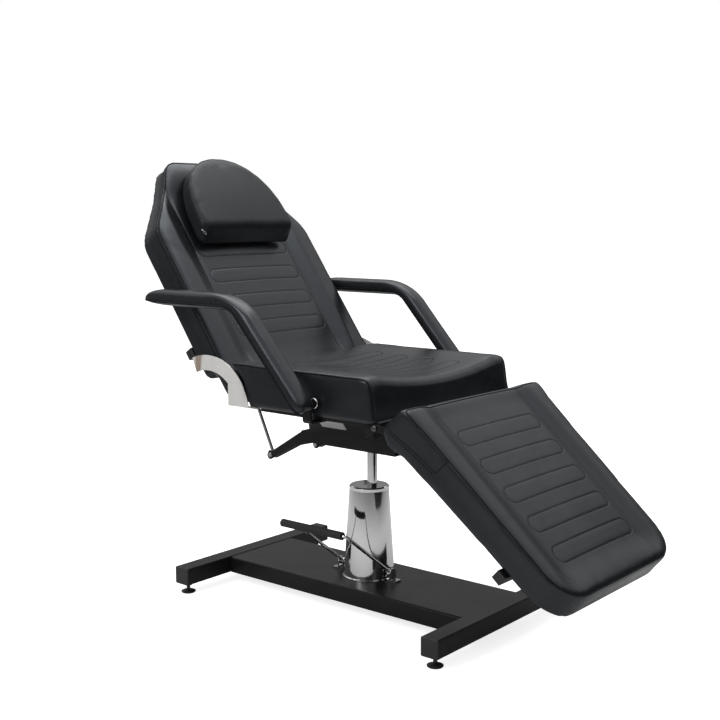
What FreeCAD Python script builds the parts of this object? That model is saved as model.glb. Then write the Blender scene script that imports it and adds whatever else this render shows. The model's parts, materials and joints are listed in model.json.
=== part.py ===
import FreeCAD, Part
import Sketcher
import math
import os

# A hydraulic treatment chair: a steel base with a foot pump, a frame that
# swivels on the pump's ram, a seat, a backrest and a leg rest on hinges, two
# fixed armrests and a head pillow. Lengths are in millimetres and angles in
# degrees. X is across the chair, Y runs from foot to head, Z is up.

V = FreeCAD.Vector
doc = FreeCAD.newDocument("TattooChair")
sheet = doc.addObject("Spreadsheet::Sheet", "Sizes")

# Every size that can be set by itself, with its value.
SIZES = [
    # a quarter of a turn, for parts that lie across
    ("quarter_turn", "90"),
    # the place of the base's centre, measured from the middle of the chair
    ("base_centre", "48"),
    # clearances
    ("hinge_fit", "0.1"),
    ("seat_fit", "0.3"),
    ("side_gap", "0.5"),
    ("overrun", "5"),
    # base
    ("base_span", "590"),
    ("base_length", "900"),
    ("tube_width", "50"),
    ("tube_height", "48"),
    ("tube_wall", "2.5"),
    ("tube_corner", "4"),
    ("floor_gap", "27"),
    ("deck_width", "256"),
    ("deck_drop", "2.7"),
    ("deck_height", "45"),
    ("deck_wall", "4"),
    ("deck_bend", "7"),
    ("end_cap_thickness", "3"),
    ("end_cap_stub", "14"),
    ("end_cap_bevel", "1.5"),
    ("foot_diameter", "40"),
    ("foot_thickness", "8"),
    ("foot_bevel", "2"),
    ("foot_nut_diameter", "22"),
    ("foot_nut_height", "6"),
    ("foot_stem_diameter", "10"),
    ("foot_stem_top", "44"),
    ("foot_inset", "25"),
    # pump
    ("pump_offset", "-7"),
    ("cover_foot_diameter", "138"),
    ("cover_top_diameter", "108"),
    ("cover_top", "312"),
    ("cover_wall", "2"),
    ("pump_top", "323"),
    ("pump_cap_bevel", "3"),
    ("pump_cap_lip", "6"),
    ("flange_width", "4"),
    ("flange_height", "4"),
    ("barrel_diameter", "70"),
    ("barrel_top", "304"),
    ("oil_plug_diameter", "11"),
    ("oil_plug_height", "6"),
    ("oil_plug_reach", "34"),
    ("ram_diameter", "27"),
    ("ram_offset", "-17.5"),
    ("ram_bottom", "142"),
    ("ram_top", "500"),
    ("ram_chamfer", "1.5"),
    # pedal
    ("pedal_axis_x", "-8"),
    ("pedal_axis_z", "95"),
    ("pedal_centre", "-3.5"),
    ("pedal_eye_reach", "81"),
    ("pedal_eye_diameter", "18"),
    ("pedal_eye_width", "12"),
    ("pedal_pin_diameter", "8"),
    ("pedal_rod_diameter", "9"),
    ("pedal_arm", "226"),
    ("pedal_bend", "12"),
    ("pedal_angle", "37"),
    ("pedal_tip", "141"),
    ("grip_diameter", "21"),
    ("grip_wall_end", "4"),
    ("grip_bevel", "4"),
    ("bracket_width", "24"),
    ("bracket_thickness", "5"),
    ("bracket_foot", "22"),
    # lower frame
    ("pan_bottom", "440"),
    ("pan_half_width", "112"),
    ("pan_side_top", "470"),
    ("pan_wing_half_width", "172"),
    ("pan_wing_top", "545"),
    ("pan_sheet", "3"),
    ("pan_front", "182"),
    ("pan_rear_low", "150"),
    ("pan_rear_high", "137"),
    ("pan_wing_start", "102"),
    ("pan_wing_rear", "60"),
    ("pan_wing_front", "130"),
    ("pan_floor_rear", "86"),
    ("socket_diameter", "54"),
    ("socket_flange_diameter", "96"),
    ("socket_flange_thickness", "7"),
    ("socket_top", "512"),
    ("name_plate_length", "84"),
    ("name_plate_width", "42"),
    ("name_plate_thickness", "1"),
    ("name_plate_y", "2"),
    ("name_plate_share", "0.55"),
    # upper frame
    ("rail_centre", "70"),
    ("rail_width", "30"),
    ("rail_bottom", "515"),
    ("rail_rear_bottom", "514"),
    ("rail_rear_top", "526"),
    ("rail_step_y", "141"),
    ("cross_tube_y", "-235"),
    ("cross_tube_size", "25"),
    ("cross_tube_half_length", "279"),
    ("small_tube_wall", "2"),
    ("lug_thickness", "5"),
    ("hinge_pin_diameter", "12"),
    ("hinge_boss_diameter", "34"),
    ("hinge_ear_thickness", "8"),
    ("pin_head_height", "5"),
    ("pin_head_diameter", "20"),
    # strut arms and struts
    ("strut_centre", "95"),
    ("strut_arm_width", "27"),
    ("strut_arm_sheet", "3.5"),
    ("strut_arm_crest_y", "139"),
    ("strut_arm_knee_y", "163.5"),
    ("strut_arm_knee_z", "422.5"),
    ("strut_low_y", "257.5"),
    ("strut_low_z", "386"),
    ("strut_rod_diameter", "9"),
    ("strut_eye_diameter", "18"),
    ("strut_eye_width", "12"),
    ("strut_pin_diameter", "8"),
    ("strut_rod_length", "204"),
    ("strut_bore_diameter", "12.6"),
    ("strut_tube_diameter", "18"),
    ("strut_tube_length", "118"),
    ("strut_neck", "16"),
    ("strut_high", "141"),
    # seat
    ("seat_half_width", "300"),
    ("seat_top", "667"),
    ("seat_bottom", "559"),
    ("seat_front_top", "-250"),
    ("seat_front_bottom", "-268"),
    ("seat_corner", "30"),
    ("seat_rear_radius", "153.4"),
    ("board_thickness", "14"),
    ("seat_board_half_width", "274"),
    ("seat_board_front", "-246"),
    ("seat_board_rear", "139"),
    ("cushion_roll", "22"),
    ("cushion_crown", "6"),
    ("cushion_crown_run", "50"),
    ("dish_depth", "24"),
    ("dish_half_width", "250"),
    ("dish_bevel", "9"),
    ("panel_depth", "13"),
    ("panel_half_width", "236"),
    ("panel_end_run", "50"),
    ("cushion_draw", "5"),
    ("channel_width", "5"),
    ("channel_depth", "2.5"),
    ("channel_half_length", "176"),
    ("channel_height", "45"),
    ("channel_pitch", "87"),
    ("seat_channel_start", "-186"),
    # backrest
    ("recline_y", "295"),
    ("recline_z", "528"),
    ("recline_angle", "35.56"),
    ("back_pivot_depth", "125"),
    ("back_pivot_height", "61.1"),
    ("back_half_width", "300"),
    ("back_length", "680"),
    ("back_shoulder", "448"),
    ("back_temple", "578"),
    ("back_temple_half_width", "204"),
    ("back_top_half_width", "124"),
    ("back_thickness", "90"),
    ("back_top_thickness", "64"),
    ("back_taper_start", "420"),
    ("back_corner", "60"),
    ("back_foot", "9"),
    ("back_foot_height", "38"),
    ("back_lip_depth", "44"),
    ("back_lip_end", "110"),
    ("back_lip_rake", "31"),
    ("back_channel_start", "95"),
    ("back_board_thickness", "9"),
    ("back_board_margin", "14"),
    ("back_tube_place", "105"),
    ("back_tube_half_length", "292"),
    ("plug_thickness", "3"),
    ("plug_stub", "10"),
    # guards
    ("guard_thickness", "2"),
    ("guard_outer_radius", "152.4"),
    ("guard_inner_radius", "112"),
    ("guard_start_angle", "67"),
    ("guard_end_angle", "150"),
    ("seat_guard_rear", "218"),
    ("seat_guard_crease_share", "0.56"),
    ("seat_guard_flange", "26"),
    # leg rest
    ("leg_y", "-258"),
    ("leg_z", "548"),
    ("leg_angle", "41.58"),
    ("leg_pivot_run", "95.7"),
    ("leg_pivot_drop", "104.9"),
    ("leg_head", "125"),
    ("leg_head_rake", "12"),
    ("leg_foot", "704"),
    ("leg_head_half_width", "300"),
    ("leg_waist_half_width", "289"),
    ("leg_foot_half_width", "270"),
    ("leg_waist", "222"),
    ("leg_foot_corner", "92"),
    ("leg_thickness", "78"),
    ("leg_channel_start", "214"),
    ("leg_board_margin", "16"),
    ("leg_tube_place", "550"),
    ("leg_tube_half_length", "282"),
    ("leg_rail_width", "28"),
    ("leg_rail_place", "190"),
    ("leg_rail_thickness", "5"),
    ("leg_pin_diameter", "10"),
    ("leg_boss_diameter", "20"),
    # armrests
    ("arm_inner", "316"),
    ("arm_width", "59"),
    ("arm_thickness", "42"),
    ("arm_top", "852"),
    ("arm_bend_y", "128.5"),
    ("arm_angle", "47.9"),
    ("arm_rear", "487"),
    ("arm_foot_z", "591"),
    ("arm_end_round", "20"),
    ("arm_tip_run", "85"),
    ("arm_tip_drop", "26"),
    ("arm_tip_round", "7"),
    ("arm_outer_bend", "180"),
    ("arm_inner_bend", "45"),
    ("arm_roll", "9"),
    ("arm_draw", "1"),
    ("arm_bolt_y", "-83"),
    ("arm_bolt_z", "592"),
    ("arm_bracket_y", "-66"),
    ("arm_bracket_width", "26"),
    ("arm_bracket_thickness", "5"),
    ("arm_bracket_reach", "28"),
    ("arm_bolt_diameter", "10"),
    ("arm_collar_diameter", "24"),
    # pillow
    ("pillow_half_width", "184"),
    ("pillow_bottom", "378"),
    ("pillow_bottom_drop", "26"),
    ("pillow_top", "650"),
    ("pillow_thickness", "50"),
    ("pillow_corner", "34"),
    ("pillow_roll", "20"),
]

row = 0
for alias, text in SIZES:
    row += 1
    sheet.set("A%d" % row, alias.replace("_", " "))
    sheet.set("B%d" % row, text)
    sheet.setAlias("B%d" % row, alias)
doc.recompute()


class Size:
    """A size of the chair: its number, and the expression that gives it."""

    def __init__(self, value, text):
        self.value = float(value)
        self.text = text

    def __add__(self, other):
        other = sized(other)
        return Size(self.value + other.value, "(%s + %s)" % (self.text, other.text))

    def __sub__(self, other):
        other = sized(other)
        return Size(self.value - other.value, "(%s - %s)" % (self.text, other.text))

    def __mul__(self, other):
        other = sized(other)
        return Size(self.value * other.value, "(%s * %s)" % (self.text, other.text))

    def __truediv__(self, other):
        other = sized(other)
        return Size(self.value / other.value, "(%s / %s)" % (self.text, other.text))

    def __neg__(self):
        return Size(-self.value, "(-(%s))" % self.text)

    __radd__ = __add__
    __rmul__ = __mul__

    def __rsub__(self, other):
        return sized(other) - self


def sized(number):
    if isinstance(number, Size):
        return number
    return Size(number, "(%.9f)" % number)


def sin_of(angle):
    return Size(math.sin(math.radians(angle.value)), "sin(%s)" % angle.text)


def cos_of(angle):
    return Size(math.cos(math.radians(angle.value)), "cos(%s)" % angle.text)


def tan_of(angle):
    return Size(math.tan(math.radians(angle.value)), "tan(%s)" % angle.text)


def root_of(area):
    return Size(math.sqrt(area.value), "sqrt(%s)" % area.text)


def turn_of(across, up):
    """The angle from the upright to a line that runs across by one and up by the other."""
    return Size(math.degrees(math.atan2(across.value, up.value)),
                "atan2(%s; %s)" % (across.text, up.text))


class Table:
    """The sheet's cells, read by name."""


q = Table()
for alias, text in SIZES:
    setattr(q, alias, Size(sheet.get(alias), "Sizes." + alias))

ZERO = sized(0)
nodes = []


# Helpers for bodies, sketches and features

def keep(obj, name):
    """Gives the finished piece its name and lists it."""
    obj.Label = name
    nodes.append(obj)
    return obj


def new_body(name):
    body = doc.addObject("PartDesign::Body", name)
    return keep(body, name)


def new_sketch(body, role, offset=None):
    sketch = body.newObject("Sketcher::SketchObject", body.Label + "_sketch")
    plane = [f for f in body.Origin.OriginFeatures if f.Role == role][0]
    sketch.AttachmentSupport = [(plane, "")]
    sketch.MapMode = "FlatFace"
    if offset is not None:
        sketch.setExpression("AttachmentOffset.Base.z", offset.text)
    return sketch


def bind(sketch, kind, geometry, position, value):
    if kind == "Radius":
        number = sketch.addConstraint(Sketcher.Constraint(kind, geometry, value.value))
    else:
        number = sketch.addConstraint(
            Sketcher.Constraint(kind, -1, 1, geometry, position, value.value))
    sketch.setExpression("Constraints[%d]" % number, value.text)


def draw(sketch, points):
    """A closed outline through the points. A point is (across, up), or
    (across, up, radius, way) where an arc ends there; way 1 turns left, -1 right."""
    ends = []
    for i, point in enumerate(points):
        before = points[i - 1]
        a = V(before[0].value, before[1].value, 0)
        b = V(point[0].value, point[1].value, 0)
        if len(point) == 2:
            g = sketch.addGeometry(Part.LineSegment(a, b), False)
            ends.append((g, 1, 2))
        else:
            radius, way = point[2], point[3]
            half = (b - a) * 0.5
            rise = math.sqrt(max(radius.value ** 2 - half.Length ** 2, 0))
            side = V(-half.y, half.x, 0).normalize() * (rise * way)
            centre = a + half + side
            start, end = (a, b) if way > 0 else (b, a)
            turn_a = math.atan2(start.y - centre.y, start.x - centre.x)
            turn_b = math.atan2(end.y - centre.y, end.x - centre.x)
            if turn_b < turn_a:
                turn_b += 2 * math.pi
            circle = Part.Circle(centre, V(0, 0, 1), radius.value)
            g = sketch.addGeometry(Part.ArcOfCircle(circle, turn_a, turn_b), False)
            ends.append((g, 1, 2) if way > 0 else (g, 2, 1))
    for i in range(len(ends)):
        here, after = ends[i], ends[(i + 1) % len(ends)]
        sketch.addConstraint(
            Sketcher.Constraint("Coincident", here[0], here[2], after[0], after[1]))
    for (g, start, end), point in zip(ends, points):
        bind(sketch, "DistanceX", g, end, sized(point[0]))
        bind(sketch, "DistanceY", g, end, sized(point[1]))
        if len(point) > 2:
            bind(sketch, "Radius", g, 0, point[2])
    return sketch


def draw_circle(sketch, across, up, radius):
    across, up = sized(across), sized(up)
    circle = Part.Circle(V(across.value, up.value, 0), V(0, 0, 1), radius.value)
    g = sketch.addGeometry(circle, False)
    bind(sketch, "DistanceX", g, 3, across)
    bind(sketch, "DistanceY", g, 3, up)
    bind(sketch, "Radius", g, 0, radius)
    return sketch


def box_points(low_a, high_a, low_b, high_b, corner=None):
    """The outline of a rectangle, with rounded corners where a radius is given."""
    if corner is None:
        return [(low_a, low_b), (high_a, low_b), (high_a, high_b), (low_a, high_b)]
    r = corner
    return [(low_a + r, low_b, r, 1), (high_a - r, low_b), (high_a, low_b + r, r, 1),
            (high_a, high_b - r), (high_a - r, high_b, r, 1), (low_a + r, high_b),
            (low_a, high_b - r, r, 1), (low_a, low_b + r)]


def pad(body, sketch, length, side="Symmetric", reverse=False):
    feature = body.newObject("PartDesign::Pad", body.Label + "_pad")
    feature.Profile = sketch
    feature.SideType = side
    feature.Reversed = reverse
    feature.setExpression("Length", sized(length).text)
    return feature


def pocket(body, sketch, length, side="Symmetric", reverse=False):
    doc.recompute()
    feature = body.newObject("PartDesign::Pocket", body.Label + "_pocket")
    feature.Profile = sketch
    feature.SideType = side
    feature.Reversed = reverse
    feature.setExpression("Length", sized(length).text)
    return feature


def turn(body, sketch):
    feature = body.newObject("PartDesign::Revolution", body.Label + "_turned")
    feature.Profile = sketch
    feature.ReferenceAxis = (sketch, ["V_Axis"])
    feature.Angle = 360
    return feature


def bevel_edges(body, width, choose):
    """Bevels the edges of the body's last shape that the test picks."""
    doc.recompute()
    tip = body.Tip
    names = ["Edge%d" % (i + 1) for i, e in enumerate(tip.Shape.Edges) if choose(e)]
    feature = body.newObject("PartDesign::Chamfer", body.Label + "_bevel")
    feature.Base = (tip, names)
    feature.setExpression("Size", width.text)
    return feature


def place(obj, x=ZERO, y=ZERO, z=ZERO, axis=None, angle=None):
    """Puts a piece in the chair, whose Y runs from the middle of the chair."""
    if axis is not None:
        obj.Placement = FreeCAD.Placement(V(0, 0, 0), FreeCAD.Rotation(axis, 30))
        obj.setExpression("Placement.Rotation.Angle", angle.text)
    obj.setExpression("Placement.Base.x", sized(x).text)
    obj.setExpression("Placement.Base.y", (sized(y) + q.base_centre).text)
    obj.setExpression("Placement.Base.z", sized(z).text)
    return obj


AXIS_X = V(1, 0, 0)
AXIS_Y = V(0, 1, 0)
AXIS_Z = V(0, 0, 1)


def place_back(obj, x=ZERO):
    """The backrest's pieces have the recline hinge as their origin."""
    return place(obj, x, q.recline_y, q.recline_z, AXIS_X, -q.recline_angle)


def place_leg(obj, x=ZERO):
    """The leg rest's pieces have its hinge as their origin, and lie towards -Y."""
    return place(obj, x, q.leg_y, q.leg_z, AXIS_X, q.leg_angle)


SIDES = (("right", -1), ("left", 1))
ENDS = (("foot", -1), ("head", 1))


# Base: two cross tubes and a folded deck between them, on levelling feet

tube_top = q.floor_gap + q.tube_height
deck_top = tube_top - q.deck_drop
tube_y = (q.base_length - q.tube_width) / 2
foot_x = q.base_span / 2 - q.foot_inset

for end, way in ENDS:
    body = new_body("base_tube_" + end)
    sk = new_sketch(body, "YZ_Plane")
    half = q.tube_width / 2
    wall = q.tube_wall
    draw(sk, box_points(-half, half, q.floor_gap, tube_top, q.tube_corner))
    draw(sk, box_points(wall - half, half - wall, q.floor_gap + wall, tube_top - wall,
                        q.tube_corner - wall))
    pad(body, sk, q.base_span - 2 * q.end_cap_thickness)
    sk = new_sketch(body, "XY_Plane")
    for side, hand in SIDES:
        draw_circle(sk, hand * foot_x, ZERO, q.foot_stem_diameter / 2 + q.seat_fit)
    pocket(body, sk, q.floor_gap + 2 * wall, "One side", True)
    place(body, ZERO, way * tube_y)

    for side, hand in SIDES:
        body = new_body("tube_cap_%s_%s" % (end, side))
        sk = new_sketch(body, "YZ_Plane")
        draw(sk, box_points(-half, half, q.floor_gap, tube_top, q.tube_corner))
        pad(body, sk, q.end_cap_thickness, "One side")
        fit = wall + q.hinge_fit
        sk = new_sketch(body, "YZ_Plane")
        draw(sk, box_points(fit - half, half - fit, q.floor_gap + fit, tube_top - fit,
                            q.tube_corner - wall))
        rim = fit + wall
        draw(sk, box_points(rim - half, half - rim, q.floor_gap + rim, tube_top - rim))
        pad(body, sk, q.end_cap_stub, "One side", True)
        outer = q.end_cap_thickness.value
        bevel_edges(body, q.end_cap_bevel,
                    lambda e: abs(e.BoundBox.XMin - outer) < 0.01
                    and abs(e.BoundBox.XMax - outer) < 0.01)
        reach = q.base_span / 2 - q.end_cap_thickness
        turn_angle = sized(0) if hand > 0 else 2 * q.quarter_turn
        place(body, hand * reach, way * tube_y, ZERO, AXIS_Z, turn_angle)

        body = new_body("level_foot_%s_%s" % (end, side))
        sk = new_sketch(body, "XZ_Plane")
        r = q.foot_diameter / 2
        nut = q.foot_nut_diameter / 2
        stem = q.foot_stem_diameter / 2
        t = q.foot_thickness
        draw(sk, [(ZERO, ZERO), (r - q.foot_bevel, ZERO), (r, q.foot_bevel),
                  (r, t - 2 * q.foot_bevel), (nut, t), (stem, t),
                  (stem, q.floor_gap - q.foot_nut_height),
                  (nut, q.floor_gap - q.foot_nut_height), (nut, q.floor_gap),
                  (stem, q.floor_gap), (stem, q.foot_stem_top), (ZERO, q.foot_stem_top)])
        turn(body, sk)
        place(body, hand * foot_x, way * tube_y)

body = new_body("base_deck")
sk = new_sketch(body, "XZ_Plane")
half = q.deck_width / 2
low = deck_top - q.deck_height
wall = q.deck_wall
bend = q.deck_bend
inner = q.deck_bend - q.deck_wall
draw(sk, [(half, low), (half, deck_top - bend), (half - bend, deck_top, bend, 1),
          (bend - half, deck_top), (-half, deck_top - bend, bend, 1), (-half, low),
          (wall - half, low), (wall - half, deck_top - bend),
          (bend - half, deck_top - wall, inner, -1), (half - bend, deck_top - wall),
          (half - wall, deck_top - bend, inner, -1), (half - wall, low)])
pad(body, sk, q.base_length - 2 * q.tube_width)
place(body)

# Pump: a flange ring, a tapered cover with a cap, and the barrel inside

body = new_body("pump_flange")
sk = new_sketch(body, "XZ_Plane")
rim = q.cover_foot_diameter / 2 + q.seat_fit
wide = rim + q.flange_width
lift = q.flange_height
draw(sk, [(rim, ZERO), (wide, ZERO), (wide, lift / 2), (wide - lift / 2, lift),
          (rim, lift)])
turn(body, sk)
place(body, ZERO, q.pump_offset, deck_top)

body = new_body("pump_cover")
sk = new_sketch(body, "XZ_Plane")
foot_r = q.cover_foot_diameter / 2
top_r = q.cover_top_diameter / 2
tall = q.cover_top - deck_top
draw(sk, [(foot_r - q.cover_wall, ZERO), (foot_r, ZERO), (top_r, tall),
          (top_r - q.cover_wall, tall)])
turn(body, sk)
place(body, ZERO, q.pump_offset, deck_top)

body = new_body("pump_cap")
sk = new_sketch(body, "XZ_Plane")
rise = q.pump_top - q.cover_top
lip_r = top_r - q.cover_wall - q.hinge_fit
draw(sk, [(ZERO, -q.pump_cap_lip), (lip_r, -q.pump_cap_lip), (lip_r, ZERO), (top_r, ZERO),
          (top_r, rise - q.pump_cap_bevel), (top_r - q.pump_cap_bevel, rise),
          (ZERO, rise)])
turn(body, sk)
sk = new_sketch(body, "XY_Plane")
ram_shift = q.ram_offset - q.pump_offset
draw_circle(sk, ZERO, ram_shift, q.ram_diameter / 2 + q.seat_fit)
draw_circle(sk, q.oil_plug_diameter, ram_shift + q.oil_plug_reach,
            q.oil_plug_diameter / 4)
pocket(body, sk, 4 * rise)
place(body, ZERO, q.pump_offset, q.cover_top)

body = new_body("oil_plug")
sk = new_sketch(body, "XZ_Plane")
r = q.oil_plug_diameter / 2
tall = q.oil_plug_height
draw(sk, [(ZERO, -rise), (r / 2 - q.hinge_fit, -rise), (r / 2 - q.hinge_fit, ZERO),
          (r, ZERO), (r, tall - r / 3), (r - r / 3, tall), (ZERO, tall)])
turn(body, sk)
place(body, q.oil_plug_diameter, q.ram_offset + q.oil_plug_reach, q.pump_top)

body = new_body("pump_barrel")
sk = new_sketch(body, "XZ_Plane")
bore = q.ram_diameter / 2 + q.seat_fit
r = q.barrel_diameter / 2
draw(sk, [(bore, ZERO), (r, ZERO), (r, q.barrel_top - deck_top),
          (bore, q.barrel_top - deck_top)])
turn(body, sk)
place(body, ZERO, q.ram_offset, deck_top)

body = new_body("ram")
sk = new_sketch(body, "XZ_Plane")
r = q.ram_diameter / 2
c = q.ram_chamfer
tall = q.ram_top - q.ram_bottom
draw(sk, [(ZERO, ZERO), (r - c, ZERO), (r, c), (r, tall - c), (r - c, tall), (ZERO, tall)])
turn(body, sk)
place(body, ZERO, q.ram_offset, q.ram_bottom)

# Pedal: a U-shaped lever on two pins beside the cover, with a rubber grip

eye_y = q.pedal_eye_reach
rod_r = q.pedal_rod_diameter / 2
body = new_body("pedal_lever")
path = new_sketch(body, "XY_Plane")
reach = q.pedal_arm
bend = q.pedal_bend
line_a = path.addGeometry(Part.LineSegment(V(0, -eye_y.value, 0),
                                           V(bend.value - reach.value, -eye_y.value, 0)), False)
arc_c = V(bend.value - reach.value, bend.value - eye_y.value, 0)
arc_b = path.addGeometry(Part.ArcOfCircle(Part.Circle(arc_c, V(0, 0, 1), bend.value),
                                          math.pi, 1.5 * math.pi), False)
line_c = path.addGeometry(Part.LineSegment(V(-reach.value, bend.value - eye_y.value, 0),
                                           V(-reach.value, q.pedal_tip.value, 0)), False)
path.addConstraint(Sketcher.Constraint("Coincident", line_a, 2, arc_b, 2))
path.addConstraint(Sketcher.Constraint("Coincident", arc_b, 1, line_c, 1))
for geometry, position, across, up in (
        (line_a, 1, ZERO, -eye_y), (line_a, 2, bend - reach, -eye_y),
        (line_c, 1, -reach, bend - eye_y), (line_c, 2, -reach, q.pedal_tip)):
    bind(path, "DistanceX", geometry, position, across)
    bind(path, "DistanceY", geometry, position, up)
bind(path, "Radius", arc_b, 0, bend)
sk = new_sketch(body, "YZ_Plane")
draw_circle(sk, -eye_y, ZERO, rod_r)
pipe = body.newObject("PartDesign::AdditivePipe", "pedal_lever_pipe")
pipe.Profile = sk
pipe.Spine = (path, [])
sk = new_sketch(body, "YZ_Plane")
draw_circle(sk, eye_y, ZERO, rod_r)
pad(body, sk, reach, "One side", True)
for way in (-1, 1):
    sk = new_sketch(body, "XZ_Plane", sized(way) * eye_y)
    draw_circle(sk, ZERO, ZERO, q.pedal_eye_diameter / 2)
    pad(body, sk, q.pedal_eye_width)
sk = new_sketch(body, "XZ_Plane")
draw_circle(sk, ZERO, ZERO, q.pedal_pin_diameter / 2 + q.hinge_fit)
pocket(body, sk, 4 * eye_y)
place(body, q.pedal_axis_x, q.pedal_centre, q.pedal_axis_z, AXIS_Y, q.pedal_angle)

body = new_body("pedal_grip")
sk = new_sketch(body, "XY_Plane")
sk.setExpression("AttachmentOffset.Base.x", (-reach).text)
r = q.grip_diameter / 2
bore = rod_r + q.hinge_fit
low = bend - eye_y + q.side_gap
top = q.pedal_tip + q.grip_wall_end
c = q.grip_bevel
draw(sk, [(bore, low), (r, low), (r, top - c), (r - c, top), (ZERO, top),
          (ZERO, q.pedal_tip + q.hinge_fit), (bore, q.pedal_tip + q.hinge_fit)])
turn(body, sk)
sk = new_sketch(body, "YZ_Plane", -reach)
draw_circle(sk, eye_y, ZERO, bore)
pocket(body, sk, r + q.overrun, "One side", True)
place(body, q.pedal_axis_x, q.pedal_centre, q.pedal_axis_z, AXIS_Y, q.pedal_angle)

for end, way in ENDS:
    body = new_body("pedal_bracket_" + end)
    near = eye_y + q.pedal_eye_width / 2 + q.side_gap
    far = near + q.bracket_thickness
    half = q.bracket_width / 2
    drop = q.pedal_axis_z - deck_top
    sk = new_sketch(body, "XZ_Plane", -(near + far) / 2)
    draw(sk, [(-half, -drop), (half, -drop), (half, ZERO), (ZERO, half, half, 1),
              (-half, ZERO, half, 1)])
    pad(body, sk, q.bracket_thickness)
    sk = new_sketch(body, "XY_Plane", -drop)
    draw(sk, box_points(-half, half, near, near + q.bracket_foot))
    pad(body, sk, q.bracket_thickness, "One side")
    start = eye_y - q.pedal_eye_width / 2 - q.side_gap
    sk = new_sketch(body, "XZ_Plane", -(far + start) / 2)
    draw_circle(sk, ZERO, ZERO, q.pedal_pin_diameter / 2)
    pad(body, sk, far - start)
    facing = sized(0) if way > 0 else 2 * q.quarter_turn
    place(body, q.pedal_axis_x, q.pedal_centre, q.pedal_axis_z, AXIS_Z, facing)

# Swivel frame: a folded pan with leaning wings, its ram socket and plate

body = new_body("frame_pan")
sk = new_sketch(body, "XZ_Plane")
half = q.pan_half_width
wing = q.pan_wing_half_width
run = wing - half
climb = q.pan_wing_top - q.pan_side_top
slant = root_of(run * run + climb * climb)
skew = q.pan_sheet * slant / climb
dip = q.pan_sheet * (slant - climb) / run
t = q.pan_sheet
draw(sk, [(half, q.pan_bottom), (half, q.pan_side_top), (wing, q.pan_wing_top),
          (wing - skew, q.pan_wing_top), (half - t, q.pan_side_top + dip),
          (half - t, q.pan_bottom + t), (t - half, q.pan_bottom + t),
          (t - half, q.pan_side_top + dip), (skew - wing, q.pan_wing_top),
          (-wing, q.pan_wing_top), (-half, q.pan_side_top), (-half, q.pan_bottom)])
pad(body, sk, 2 * q.pan_front)
far = 2 * q.pan_front
over = q.overrun
sk = new_sketch(body, "YZ_Plane")
draw(sk, [(q.pan_rear_low, q.pan_bottom - over), (far, q.pan_bottom - over),
          (far, q.pan_wing_top + over), (q.pan_wing_rear, q.pan_wing_top + over),
          (q.pan_wing_start, q.pan_side_top + 2 * over), (q.pan_rear_high, q.pan_side_top)])
pocket(body, sk, 4 * wing)
sk = new_sketch(body, "YZ_Plane")
draw(sk, [(-far, q.pan_side_top + over), (-q.pan_front + over, q.pan_side_top + over),
          (-q.pan_wing_front, q.pan_wing_top + over), (-far, q.pan_wing_top + over)])
pocket(body, sk, 4 * wing)
sk = new_sketch(body, "XY_Plane", q.pan_bottom - t)
draw(sk, box_points(t - half, half - t, q.pan_floor_rear, far))
pocket(body, sk, 3 * t - dip, "One side", True)
sk = new_sketch(body, "XY_Plane", q.pan_bottom - t)
draw_circle(sk, ZERO, q.ram_offset, q.ram_diameter / 2 + 2 * q.side_gap)
pocket(body, sk, 3 * t - dip, "One side", True)
place(body)

body = new_body("ram_socket")
sk = new_sketch(body, "XZ_Plane")
bore = q.ram_diameter / 2 + q.seat_fit
r = q.socket_diameter / 2
flange = q.socket_flange_diameter / 2
thick = q.socket_flange_thickness
floor = q.pan_bottom + t
draw(sk, [(bore, floor), (flange, floor), (flange, floor + thick / 2), (r + thick, floor + thick),
          (r, floor + 2 * thick), (r, q.socket_top), (ZERO, q.socket_top),
          (ZERO, q.ram_top + q.seat_fit), (bore, q.ram_top + q.seat_fit)])
turn(body, sk)
place(body, ZERO, q.ram_offset)

body = new_body("name_plate")
sk = new_sketch(body, "YZ_Plane")
draw(sk, box_points(-q.name_plate_length / 2, q.name_plate_length / 2,
                    -q.name_plate_width / 2, q.name_plate_width / 2,
                    3 * q.name_plate_thickness))
pad(body, sk, q.name_plate_thickness, "One side", True)
lean = turn_of(run, climb)
place(body, -half - run * q.name_plate_share, q.name_plate_y,
      q.pan_side_top + climb * q.name_plate_share, AXIS_Y, -lean)

# Upper frame: two rails and a front tube with the leg rest's lugs

body = new_body("seat_frame")
tube = q.cross_tube_size
tube_low = q.pan_wing_top - tube
board_low = q.seat_bottom - q.board_thickness
for hand in (-1, 1):
    sk = new_sketch(body, "YZ_Plane", sized(hand) * q.rail_centre)
    boss = q.hinge_boss_diameter / 2
    pivot_y, pivot_z = q.recline_y, q.recline_z
    rail_end = pivot_y - 3 * boss / 2
    draw(sk, [(q.cross_tube_y, q.rail_bottom), (q.rail_step_y, q.rail_bottom),
              (q.rail_step_y, q.rail_rear_bottom), (rail_end, q.rail_rear_bottom),
              (rail_end, q.rail_rear_top), (q.rail_step_y, q.rail_rear_top),
              (q.rail_step_y, board_low), (q.cross_tube_y, board_low)])
    pad(body, sk, q.rail_width)
    sk = new_sketch(body, "YZ_Plane", sized(hand) * q.rail_centre)
    draw(sk, [(pivot_y - 2 * boss, q.rail_rear_bottom), (pivot_y, pivot_z - boss),
              (pivot_y + boss, pivot_z, boss, 1), (pivot_y, pivot_z + boss, boss, 1),
              (pivot_y - 2 * boss, q.rail_rear_top)])
    pad(body, sk, q.hinge_ear_thickness)
sk = new_sketch(body, "YZ_Plane")
draw(sk, box_points(q.cross_tube_y - tube / 2, q.cross_tube_y + tube / 2, tube_low, board_low))
pad(body, sk, 2 * q.cross_tube_half_length)
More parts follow.
